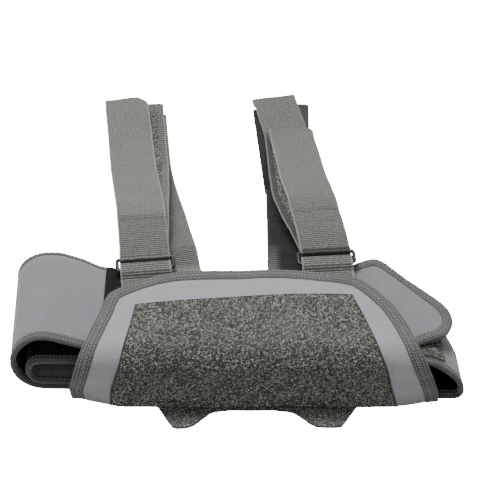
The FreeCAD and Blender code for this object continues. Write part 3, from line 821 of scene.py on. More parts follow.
class ARMSLING_OT_finishes(bpy.types.Operator):
    """Make the repeating trees and every material of the sling"""
    bl_idname = "armsling.finishes"
    bl_label = "Finishes"

    def execute(self, context):
        stitch_tree()
        pile_tree()
        make_weave_group()
        make_rib_group()
        make_mottle_group()
        pitch = context.scene.sling_sizes.rib_pitch
        webbing = picked("webbing")
        knit_finish("Belt Knit", picked("cloth"), 0.0028, 0.0042, 0.0005, 0.5, 0.42)
        knit_finish("Front Knit", picked("border"), 0.0014, 0.0014, 0.0003, 0.42, 0.16)
        webbing_finish("Ribbed Webbing", webbing, pitch, *ALL_RIBBED)
        webbing_finish("Strap Webbing", shaded(webbing, 1.12), pitch, 0.0, 0.02)
        webbing_finish("Fading Webbing", shaded(webbing, 1.06), pitch, 0.0, 0.05)
        # painted shade: the next two colours are the webbing darkened as if in shadow, for the right strap's
        # runs; the right rear run is near black along its near part, dimmer further on, with a painted patch
        # of light on its first corner
        dark = shaded(webbing, 0.05)
        painted_half_shade = shaded(webbing, 0.36)
        webbing_finish("Coarse Webbing", webbing, COARSE_PITCH * MM, *ALL_RIBBED)
        webbing_finish("Shaded Webbing", dark, pitch, *ALL_RIBBED, other=painted_half_shade, change=(0.3, 0.32),
                       pale=painted_half_shade, corner=shaded(webbing, 0.8))
        # right under run: painted shadow of the tab over its near part, the webbing's own colour beyond
        webbing_finish("Two Tone Webbing", painted_half_shade, COARSE_PITCH * MM, 0.28, 0.31, other=webbing,
                       change=(0.3, 0.32), pale=shaded(webbing, 1.3))
        plain_cloth_finish("Webbing Thread", shaded(webbing, 1.2), 0.0006, 0.0001, 0.7)
        webbing_finish("Anchor Webbing", shaded(webbing, 1.1), pitch, *ALL_RIBBED)
        tape_finish("Binding Tape", picked("binding"))
        pile_finish("Pile Ground", shaded(picked("pile_shadow"), 1.9), picked("pile"), False)
        pile_finish("Pile Loops", picked("pile_shadow"), picked("pile"), True)
        plain_cloth_finish("Black Lining", picked("lining"), 0.0014, 0.0004)
        plain_cloth_finish("Hook Tape", tone(16, 16, 16), 0.0009, 0.0006, 0.6, 0.3)
        plain_cloth_finish("Sewing Thread", picked("thread"), 0.0006, 0.0001, 0.7)
        plain_cloth_finish("Dark Thread", tone(40, 40, 41), 0.0006, 0.0001, 0.7)
        ring_finish("Ring Enamel", picked("ring"))
        return {"FINISHED"}


# ------------------------------------------------------------ belt
BELT_LINE = [(110, 54.8), (-144, 54.8), (-184, 62.3), (-222.5, 62.3), (-222.5, 2.5), (218, 2.5),
             (214.5, 24), (188, 47.5), (-207.5, 35.5), (-207.5, 9.5), (-70, 9.5)]
BELT_BENDS = [50, 50, 29.4, 29.4, 7, 26, 34, 12.6, 12.6]


def slump(x, y):
    """How far the far edges of the upper layers sink between the two ends of the pouch."""
    middle = 1 - ease(np.abs(np.asarray(x, float) + 6), 100, 140)
    return -10.0 * ease(y, 54, 79) * middle


def right_fold(x, y, share=1.0):
    """The slant of the right fold: its far end lies further in, under the tongue."""
    drawn_in = np.interp(y, [-50, -8, 10, 25, 40, 55, 80], [0, 4, 10, 17, 28, 44, 72])
    return x - np.maximum(x - 100, 0) / 116 * drawn_in * share


def turned_in_plan(x, y, z):
    """Points turned in plan with the folded belt."""
    c, s = math.cos(BELT_TURN), math.sin(BELT_TURN)
    return np.stack([x * c - y * s, x * s + y * c, z + 0 * y], axis=2)


def belt_grid(step, rows, inset):
    """Mid surface of the belt: along its folded line, then from near edge to far edge."""
    line = rounded_line(BELT_LINE, BELT_BENDS, step)
    along = lengths_along(line)
    x = line[:, 0][:, None]
    z = line[:, 1][:, None]
    share = np.linspace(0, 1, rows)[None, :]
    top = 1 - ease(along, 300, 345)[:, None]
    fold = ease(along, 440, 560)[:, None] * (1 - ease(along, 1050, 1180)[:, None])
    second = ease(along, 900, 940)[:, None] * (1 - ease(along, 1330, 1360)[:, None])
    near = BELT_NEAR + 5.5 * top * ease(-x, 130, 190) + inset
    far = BELT_NEAR + BELT_WIDTH + top * (-9.0 * (1 - ease(-x, 120, 165)) + 9.0 * ease(-x, 140, 190)) - inset
    y = near + (far - near) * share
    x = right_fold(x, y, fold) + (4.0 - 9.0 * share) * ease(-x, 150, 222)
    swell = wobble(x, y, 2.0, 120.0) * 0.7 * (0.3 + 0.7 * top)
    sink = slump(x, y) * np.maximum(top, second * 0.6)
    rolled = -6.0 * top * ease(-x, 118, 150) * ease(share, 0.88, 1.0)
    z = z + sink + rolled + swell * ease(z, 20, 40)
    return turned_in_plan(x, y, z)


def two_faced(piece, count, other, swapped=None):
    """Give the lower half of a shell's faces a second material, or the upper half where swapped."""
    piece.data.materials.append(other)
    for index, face in enumerate(piece.data.polygons):
        if index < 2 * count:
            turned = swapped is not None and swapped[index // 2]
            if (index % 2 == 1) != bool(turned):
                face.material_index = 1


class ARMSLING_OT_belt(bpy.types.Operator):
    """Fold the foam belt into its flat roll and bind its long edges"""
    bl_idname = "armsling.belt"
    bl_label = "Folded belt"

    def execute(self, context):
        across, hem = 34, 0.8
        grid = belt_grid(3.0, across, hem)
        edge = np.minimum(np.arange(across), np.arange(across)[::-1]) * 4.0
        thick = 3.2 + 1.5 * ease(edge, 6, 14)[None, :]
        band = shell("belt_band_cloth", grid, thick, finish_named("Black Lining"))
        middle = grid[:, across // 2]
        inner_loop = (lengths_along(middle) > 900) & (middle[:, 0] < 0)
        strips, rows = grid.shape[0] - 1, grid.shape[1] - 1
        two_faced(band, strips * rows, finish_named("Belt Knit"), inner_loop[:-1].repeat(rows))
        finish_piece(band, "root", ["belt_band"])
        sizes = context.scene.sling_sizes
        rim = belt_grid(2.0, across, hem)
        cloth = Cloth(rim)
        for name, side, node in (("belt_near_tape", "start", "belt_near_binding"),
                                 ("belt_far_tape", "end", "belt_far_binding")):
            frames = joined_frames([edge_frame(rim, side)])
            binding = tape(name, frames, cloth, 1.7, 8.6, 0.75, finish_named("Binding Tape"),
                           seed=len(name))
            finish_piece(binding, "root", [node])
            rows = [tape_row(frames, cloth, inset, side_up * 2.7)
                    for inset in (2.4, 6.8) for side_up in (1, -1)]
            thread = stitch_rows(name + "_stitches", rows,
                                 seam_values(finish_named("Sewing Thread"), sizes.stitch_pitch / MM, 2.6,
                                             sizes.thread / MM))
            finish_piece(thread, "root")
        end = joined_frames([edge_frame(rim, "last")])
        inner_end = tape("belt_end_tape", end, cloth, 1.7, 8.6, 0.75, finish_named("Binding Tape"))
        finish_piece(inner_end, "root")
        return {"FINISHED"}


class ARMSLING_OT_belt_pile(bpy.types.Operator):
    """Lay the pile patch that the tongue closes on"""
    bl_idname = "armsling.belt_pile"
    bl_label = "Belt pile patch"

    def execute(self, context):
        line = rounded_line(BELT_LINE, BELT_BENDS, 2.0)
        upper = line[(lengths_along(line) > 840) & (line[:, 0] > 104) & (line[:, 1] > 38)][::-1]
        run = unit(np.gradient(upper, axis=0))
        upper = upper + 3.05 * np.stack([-run[:, 1], run[:, 0]], axis=1)
        x = upper[:, 0][:, None]
        y = np.linspace(-43.5, 67.0, 56)[None, :]
        corner = 1 - 0.1 * ease(x, 190, 206) ** 2
        y = 11.75 + (y - 11.75) * corner
        z = upper[:, 1][:, None] + slump(x, y) * 0.6
        grid = turned_in_plan(right_fold(x + 0 * y, y), y, z)
        ground = shell("belt_pile_ground", grid, 0.9, finish_named("Pile Ground"))
        finish_piece(ground, "root", ["belt_loop_patch"])
        sizes = context.scene.sling_sizes
        loops = pile_cover("belt_pile_loops", grid[1:-1, 1:-1], 0.7, finish_named("Pile Loops"), 400000.0,
                           sizes.pile_seed, 1.3)
        finish_piece(loops, "root")
        return {"FINISHED"}


# ------------------------------------------------------------ tongue
def tongue_lift(x, y):
    """The tongue's height over its flat place: far corner curled up, tip bent over the fold."""
    off = (x - HINGE_NEAR[0]) * HINGE_SIDE[0] + (y - HINGE_NEAR[1]) * HINGE_SIDE[1]
    curl = 3.2 * ease(y, 30, 84) * ease(off, 8, 26) * (1 - 0.5 * ease(x, 150, 200))
    droop = -5.0 * ease(off, 14, 40)
    crease = -0.9 * np.exp(-(off / 3.0) ** 2)
    return curl + droop + crease + wobble(x, y, 5.0, 70.0) * 0.35


def tongue_grid(columns, rows, inset):
    """Mid surface of the tongue, near edge to far edge, inset from its outline."""
    near = smooth_through([(97, -55.5), (128, -55), (152, -49), (172, -40.5), (187, -33.5)], columns)
    right = smooth_through([(187, -33.5), (197, -27), (205, -15), (208.6, -2), (207, 11), (201.5, 22),
                            (190, 36.5), (168, 58.5), (147, 78.5)], rows)
    far = smooth_through([(97, 73), (112, 77), (121, 81), (129, 83.5), (138, 83.5), (147, 78.5)], columns)
    left = resample([(97, -55.5), (97, 73)], rows)
    flat = coons(near, far, left, right)
    centre = np.array([150.0, 10.0])
    pull = unit(centre - flat) * inset
    flat = flat + pull * ease(np.linspace(0, 1, columns), 0.0, 0.2)[:, None, None]
    x, y = flat[..., 0], flat[..., 1]
    return np.stack([x, y, TONGUE_MID + tongue_lift(x, y)], axis=2)


class ARMSLING_OT_tongue(bpy.types.Operator):
    """Lay the belt's rounded tongue over the right fold, with its binding and hook patch"""
    bl_idname = "armsling.tongue"
    bl_label = "Belt tongue"

    def execute(self, context):
        columns, rows = 52, 62
        grid = tongue_grid(columns, rows, 0.8)
        tongue = shell("tongue_cloth", grid, 3.6, finish_named("Belt Knit"))
        two_faced(tongue, (columns - 1) * (rows - 1), finish_named("Black Lining"))
        near = edge_frame(grid, "start")
        right = edge_frame(grid, "last")
        far = edge_frame(grid, "end")
        keep = slice(3, None)
        around = [tuple(part[keep] for part in near), right, tuple(part[::-1][:-3] for part in far)]
        frames = joined_frames(around)
        cloth = Cloth(grid)
        binding = tape("tongue_tape", frames, cloth, 1.8, 10.0, 0.75, finish_named("Binding Tape"), seed=2.0)
        seams = [tape_row(frames, cloth, inset, 2.85) for inset in (2.6, 8.0)]
        sizes = context.scene.sling_sizes
        values = seam_values(finish_named("Sewing Thread"), sizes.stitch_pitch / MM, 2.7,
                             sizes.thread / MM)
        thread = stitch_rows("tongue_stitches", seams, values)
        zigzag = stitch_rows("tongue_zigzag", [tape_row(frames, cloth, 5.3, 2.9)],
                             seam_values(finish_named("Sewing Thread"), 2.3, 3.4, 0.26, 50.0))
        hook = shell("tongue_hook", self.hook_grid(), 1.1, finish_named("Hook Tape"))
        finish_piece(hook, "tongue", ["belt_tongue_hook_patch"])
        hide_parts("belt_tongue")
        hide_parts("belt_tongue_binding")
        for piece in (tongue, binding, thread, zigzag):
            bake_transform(piece)
        return {"FINISHED"}

    def hook_grid(self):
        """The hook patch at the tongue's tip, on the cloth's lower face."""
        near = smooth_through([(179, -24), (187, -21), (193, -15)], 12)
        right = smooth_through([(193, -15), (197, -4), (197, 10), (188, 24), (170, 42), (154, 57),
                                (147, 63)], 40)
        far = resample([(130.5, 69), (147, 63)], 12)
        left = resample([(179, -24), (130.5, 69)], 40)
        flat = coons(near, far, left, right)
        x, y = flat[..., 0], flat[..., 1]
        return np.stack([x, y, TONGUE_MID - 3.2 + tongue_lift(x, y)], axis=2)


# ------------------------------------------------------------ pouch
BEND_START = 60 - (FRONT_FACE + FRONT_BEND)
BEND_END = BEND_START + FRONT_BEND * math.pi / 2
FRONT_TOP_EDGE = [(-119.5, 34.5), (-110.8, 29.3), (-92, 19.5), (-69.5, 11.8), (-38.8, 8.1), (0, 7.6),
                  (28, 6.2), (55.7, 7.9), (83.4, 11.6), (106, 15.5), (118.7, 20.5), (126.5, 27.5)]
FRONT_LEFT_EDGE = [(-119.5, 34.5), (-127.8, 41.6), (-132.5, 53), (-136, 69.4), (-141.5, 89), (-147, 109),
                   (-151.5, 122), (-155, 133), (-160, 152), (-163.6, 168), (-163.9, 177), (-162.4, 184.2)]
FRONT_RIGHT_EDGE = [(126.5, 27.5), (130.7, 32.1), (139.9, 44.4), (146.9, 55), (157.5, 78.6),
                    (169.4, 114), (180.2, 140), (187, 160), (191, 176), (191.5, 184.2)]
FRONT_BOTTOM_EDGE = [(-162.4, 184.2), (-120, 186.2), (-60, 187), (60, 187), (140, 186.6), (191.5, 184.2)]
PATCH_EDGES = ([(-102, 59.5), (-60, 54), (20, 46.5), (70, 44.8), (110, 44.5)],
               [(-125.5, 186), (0, 186.6), (152, 186)],
               [(-102, 59.5), (-106.5, 92), (-113, 125), (-123.7, 163), (-125.5, 186)],
               [(110, 44.5), (122.7, 85), (132.8, 120), (140.6, 139), (146, 163), (152, 186)])


def front_surface(x, s, out):
    """Point of the front wall at x, s along it from its far side, out of its mid surface."""
    angle = np.clip((s - BEND_START) / FRONT_BEND, 0, math.pi / 2)
    flat = 60 - np.minimum(s, BEND_START)
    drop = np.maximum(s - BEND_END, 0)
    out = out + 0.5 * wobble(x, s, 3.0, 95.0) + 0.55 * wobble(x * 0.4, s, 8.0, 42.0) * ease(s, 120, 175)
    crease = np.exp(-((s - 146 - 0.03 * x) / 4.0) ** 2) - 0.7 * np.exp(-((s - 155 - 0.03 * x) / 5.0) ** 2)
    out = out - 0.8 * crease * (ease(x, 120, 160) + 0.8 * ease(-x, 95, 135))
    back = 9.0 * ease(-x, 105, 165) + 5.0 * ease(x, 150, 192)
    y = flat - (FRONT_BEND + out) * np.sin(angle) + back * ease(s, 140, 187)
    z = FRONT_MID - FRONT_BEND + (FRONT_BEND + out) * np.cos(angle) - drop
    return np.stack([x, y, z], axis=-1)


def front_grid(columns, rows, edges, out=0.0):
    """A panel of the pouch's front inside its four edges, moved out by a gap."""
    top, bottom, left, right = edges
    flat = coons(smooth_through(top, columns), smooth_through(bottom, columns), smooth_through(left, rows),
                 smooth_through(right, rows))
    return front_surface(flat[..., 0], flat[..., 1], out)


class ARMSLING_OT_front_wall(bpy.types.Operator):
    """Bend the foam front wall of the pouch down to its foot and bind its open edges"""
    bl_idname = "armsling.front_wall"
    bl_label = "Pouch front"

    def execute(self, context):
        edges = (FRONT_TOP_EDGE, FRONT_BOTTOM_EDGE, FRONT_LEFT_EDGE, FRONT_RIGHT_EDGE)
        grid = front_grid(110, 96, edges)
        thick = 2.9 + 1.5 * ease(self.from_edge(grid), 13.2, 18)
        wall = shell("front_cloth", grid, thick, finish_named("Front Knit"))
        finish_piece(wall, "root", ["front_wall"])
        frames = turned_over(bound_edges(grid))
        cloth = Cloth(grid, -1.0)
        binding = tape("front_tape", frames, cloth, 1.55, 13.0, 0.75, finish_named("Binding Tape"))
        finish_piece(binding, "root", ["front_binding"])
        sizes = context.scene.sling_sizes
        pale = finish_named("Sewing Thread")
        rows = [tape_row(frames, cloth, inset, 2.5) for inset in (3.0, 10.8)]
        seams = stitch_rows("front_stitches", rows,
                            seam_values(pale, sizes.stitch_pitch / MM, 2.7, sizes.thread / MM))
        zigzag = stitch_rows("front_zigzag", [tape_row(frames, cloth, inset, 2.6) for inset in (6.0, 8.0)],
                             seam_values(pale, 2.5, 3.0, 0.26, 45.0))
        for piece in (seams, zigzag):
            finish_piece(piece, "root")
        return {"FINISHED"}

    def from_edge(self, grid):
        """How far each point of the wall is from its bound edges."""
        bound = np.concatenate((grid[0], grid[:, 0], grid[-1]))[::2]
        flat = grid.reshape(-1, 3)
        gaps = [np.linalg.norm(bound - point, axis=1).min() for point in flat]
        return np.array(gaps).reshape(grid.shape[:2])


class ARMSLING_OT_front_pile(bpy.types.Operator):
    """Cover the middle of the pouch's front with its pile patch"""
    bl_idname = "armsling.front_pile"
    bl_label = "Front pile patch"

    def execute(self, context):
        grid = front_grid(130, 80, PATCH_EDGES, 2.75)
        rough = np.random.default_rng(7).uniform(-0.18, 0.18, grid.shape[:2])
        grid = grid - grid_normals(grid) * rough[..., None]
        ground = shell("front_pile_ground", grid, 0.8, finish_named("Pile Ground"))
        finish_piece(ground, "root", ["front_loop_patch"])
        sizes = context.scene.sling_sizes
        flip = grid[1:-1, ::-1][:, 1:-1]
        for index in range(3):
            loops = pile_cover("front_pile_loops_%d" % (index + 1), flip, 0.8, finish_named("Pile Loops"),
                               235000.0, sizes.pile_seed + index, sizes.loop_width / MM)
            finish_piece(loops, "root")
        seam = stitch_rows("front_pile_seam",
                           [tape_row(bound_edges(grid), Cloth(grid, -1.0), 1.6, 0.9)],
                           seam_values(finish_named("Dark Thread"), 2.6, 2.2, 0.28))
        finish_piece(seam, "root")
        return {"FINISHED"}


def rear_grid(columns, rows, mid, face):
    """The rear wall: flat under the pouch's opening, then down in front of the belt."""
    x = np.linspace(-134.0, 111.5, columns)[:, None]
    profile = rounded_line([(0, mid), (face, mid), (face, FLAP_TOP + 0.1)], [4.0], 2.0)
    lead = profile[profile[:, 0] < -30]
    share = np.linspace(0, 1, rows)[None, :]
    far = 66.5 + 3.5 * ease(-x, 60, 120)
    line = resample(lead, max(rows // 2, 12))
    y_down = np.broadcast_to(line[:, 0][None, :], (columns, len(line)))
    z_down = np.broadcast_to(line[:, 1][None, :], (columns, len(line)))
    y_flat = far + (line[0, 0] + 1.0 - far) * share
    z_flat = mid + slump(x, y_flat) * 0.9
    y = np.concatenate((y_flat, y_down), axis=1)
    z = np.concatenate((z_flat, z_down), axis=1)
    z[:, :rows] += 0.25 * wobble(x, y_flat, 6.0, 60.0)
    return np.stack([x + 0 * y, y, z], axis=2)


class ARMSLING_OT_rear_wall(bpy.types.Operator):
    """Make the pouch's rear wall, with its black lining and bound edge"""
    bl_idname = "armsling.rear_wall"
    bl_label = "Pouch rear"

    def execute(self, context):
        foam = rear_grid(96, 50, 58.25, -60.0)
        wall = shell("rear_cloth", foam, 1.8, finish_named("Belt Knit"))
        finish_piece(wall, "root", ["rear_wall"])
        lining_grid = rear_grid(96, 50, 59.7, -61.2)
        lining = shell("rear_lining_cloth", lining_grid, 0.9, finish_named("Black Lining"))
        finish_piece(lining, "root", ["rear_lining"])
        middle = rear_grid(96, 50, 58.8, -60.4)
        frames = turned_over(bound_edges(middle))
        binding = tape("rear_tape", frames, Cloth(middle, -1.0), 1.45, 8.5, 0.5, finish_named("Black Lining"))
        finish_piece(binding, "root", ["rear_binding"])
        return {"FINISHED"}


class ARMSLING_OT_under_flap(bpy.types.Operator):
    """Lay the two-pointed flap that shows under the pouch's front"""
    bl_idname = "armsling.under_flap"
    bl_label = "Under flap"

    def execute(self, context):
        back = resample([(-86.2, -58.5), (120.0, -58.5)], 120)
        front = smooth_through([(-64.5, -99.5), (-61, -101.2), (-55, -101), (-47, -98.5), (-36, -87.5),
                                (-27, -79), (-15, -76), (10, -75.5), (38, -76), (51, -79), (62, -88.5),
                                (73, -98.5), (82, -100), (92, -99.8), (97, -98.6)], 120)
        left = resample([(-86.2, -58.5), (-64.5, -99.5)], 30)
        right = resample([(120.0, -58.5), (97, -98.6)], 30)
        flat = coons(back, front, left, right)
        x, y = flat[..., 0], flat[..., 1]
        curl = 1.6 * ease(-y, 88, 101) + 0.3 * wobble(x, y, 4.0, 30.0)
        grid = np.stack([x, y, 1.65 + np.maximum(curl, 0)], axis=2)
        flap = shell("flap_cloth", grid, 2.4, finish_named("Pile Ground"))
        finish_piece(flap, "root", ["under_flap"])
        sizes = context.scene.sling_sizes
        loops = pile_cover("flap_pile_loops", grid[:, ::-1], 1.8, finish_named("Pile Loops"), 900000.0,
                           sizes.pile_seed, 1.3)
        finish_piece(loops, "root")
        strips = []
        for name, side in (("flap_left_tape", "first"), ("flap_right_tape", "last")):
            frames = joined_frames([edge_frame(grid, side)])
            strips.append(tape(name, frames, Cloth(grid), 1.1, 5.0, 0.4, finish_named("Binding Tape"), 0.05))
            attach(strips[-1], "root")
        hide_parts("under_flap_binding")
        return {"FINISHED"}


# ------------------------------------------------------------ straps
# Leans are (distance from the ring, degrees to the left), as each webbing wanders in plan.
STRAPS = {
    "left": {"lean": 6.5, "under_length": 366.0, "tab_length": 375.0, "seam": 77.0, "taper": 4.0,
             "under": [(-60, 6.5), (18, 6.5), (32, 2.0), (200, 2.0), (240, 4.6), (470, 4.6)],
             "top": [(-60, 5.5), (60, 5.5), (110, 6.5), (300, 6.4), (470, 5.6)],
             "rear": [(-60, 8.2), (100, 8.2), (150, 10.5), (225, 10.5), (260, 4.6), (470, 4.6)],
             "tail": -64.0, "pile": (62.0, 350.0), "pile_span": (-22.0, 17.0), "rear_face": "Ribbed Webbing",
             "under_face": "Coarse Webbing", "tab_face": "Strap Webbing", "tab_fade": (0.0, 30.0),
             "cut": (11.0, 15.0), "skew": 0.1, "seed": 1.0},
    # the right strap's under and rear runs take finishes with painted shadow
    "right": {"lean": 4.5, "under_length": 376.0, "tab_length": 306.0, "seam": 84.0, "taper": 9.0,
              "under": [(-60, 4.5), (16, 4.5), (30, 15.0), (80, 14.5), (125, 8.5), (160, 2.5), (280, 1.5),
                        (304, 7.0), (325, 11.0), (470, 11.0)],
              "top": [(-60, 5.2), (60, 6.6), (130, 6.2), (200, 4.4), (280, 4.4), (306, 6.0), (470, 6.0)],
              "rear": [(-60, -0.4), (470, -0.4)],
              "tail": 53.0, "pile": (62.0, 296.0), "pile_span": (-18.0, 22.0), "rear_face": "Shaded Webbing",
              "under_face": "Two Tone Webbing", "tab_face": "Fading Webbing", "tab_fade": (0.0, 60.0),
              "cut": (5.0, 6.0), "skew": -0.04, "seed": 4.0},
}
FAR_BAR = 67.5 + BAR_RISE
COARSE_PITCH = 4.2            # cross ribs of the under runs


def under_line(length):
    """Round the far bar, back along the under run, and folded under at its far end."""
    near = BAR_REACH - TURN_RADIUS
    fold = UNDER_FLAT - FLOOR_RUN
    points = [(BAR_REACH + 2.0, FAR_BAR + TURN_RADIUS), (near, FAR_BAR + TURN_RADIUS),
              (near, FAR_BAR - TURN_RADIUS), (30, FAR_BAR - TURN_RADIUS), (60, 64.6), (112, 54.5),
              (200, 26.5), (284, UNDER_FLAT), (length + fold / 2, UNDER_FLAT),
              (length + fold / 2, FLOOR_RUN), (length - 8, FLOOR_RUN)]
    return rounded_line(points, [TURN_RADIUS, TURN_RADIUS, 40, 60, 90, 100, 100, 2.05, 2.05], 0.5)


def top_line(length):
    """From the far bar over the lifted stretch and down to the tab's free end."""
    level = TAB_FLAT - 0.2 - 2.05
    points = [(BAR_REACH + 2.0, FAR_BAR + TURN_RADIUS), (42, FAR_BAR + 3.6), (66, 70.8),
              (114, 60.6), (202, 31.8), (286, level), (length, level)]
    return rounded_line(points, [60, 60, 120, 160, 100], 0.5)


def shift_line(line, gap):
    """The same side profile, moved out by a gap."""
    way = unit(np.gradient(line, axis=0))
    return line + np.stack([-way[:, 1], way[:, 0]], axis=1) * gap


def cut_line(line, start, end):
    """The part of a side profile between two distances."""
    half_step = 0.26
    return line[(line[:, 0] >= start - half_step) & (line[:, 0] <= end + half_step)]


def ribbon_grid(origin, line, leans, half, seed=0.0, sway=0.5, columns=12, corner=None, span=None,
                skew=None):
    """Mid surface of a webbing: a side profile (distance, height) steered in plan by its leans."""
    stops = np.arange(-60.0, 470.0, 0.5)
    angle = np.radians(np.interp(stops, [p[0] for p in leans], [p[1] for p in leans]))
    centre_x = np.cumsum(-np.sin(angle)) * 0.5
    centre_y = np.cumsum(np.cos(angle)) * 0.5
    zero = int(np.searchsorted(stops, 0.0))
    centre_x -= centre_x[zero]
    centre_y -= centre_y[zero]
    distance = line[:, 0]
    cx = np.interp(distance, stops, centre_x)[None, :]
    cy = np.interp(distance, stops, centre_y)[None, :]
    turn = np.interp(distance, stops, angle)[None, :]
    share = np.linspace(-1, 1, columns)
    share = (np.sign(share) * np.abs(share) ** 0.9)[:, None]
    spread = half * np.ones_like(distance)[None, :]
    if corner is not None:
        spread = spread - corner(distance)[None, :] * np.where(share > 0, 1.0, 0.1)
    across = share * spread
    if span is not None:
        across = (span[0] + span[1]) / 2 + share * (span[1] - span[0]) / 2 + 0 * across
    held = ease(distance, 40, 120)[None, :]
    across = across + sway * wobble(0 * distance, distance, seed, 130.0)[None, :] * held
    lift = 0.35 * wobble(across * 1.5, distance[None, :], seed + 2, 55.0) * held
    back = 0.0
    if skew is not None:
        back = skew[0] * across * ease(distance, skew[1] - 60, skew[1])[None, :]
    x = origin[0] + cx + np.cos(turn) * across - np.sin(turn) * back
    y = origin[1] + cy + np.sin(turn) * across + np.cos(turn) * back
    z = line[:, 1][None, :] + lift
    return np.stack([x, y, z], axis=2)


def webbing_piece(name, grid, thick, material, rib, fade=(900.0, 950.0), calm=0.2, taper=0.0,
                  pitch=None):
    """A webbing with raised cross ribs, its selvedges pressed thinner."""
    along = grid_uv(grid)[0, :, 1]
    pitch = pitch or bpy.context.scene.sling_sizes.rib_pitch / MM
    level = 1 - (1 - calm) * ease(along, fade[0], fade[1])
    ribs = rib * (0.5 * np.cos(along * 2 * math.pi / pitch) - 0.5) * level
    rows = np.minimum(np.arange(grid.shape[0]), np.arange(grid.shape[0])[::-1])
    pressed = 1 - 0.3 * (rows == 0)
    thin = 0.12 + 0.88 * ease(along, 0, 2 * taper) if taper else 1.0
    return shell(name, grid, ((thick + 2 * ribs) * thin)[None, :] * pressed[:, None], material, 0.6)


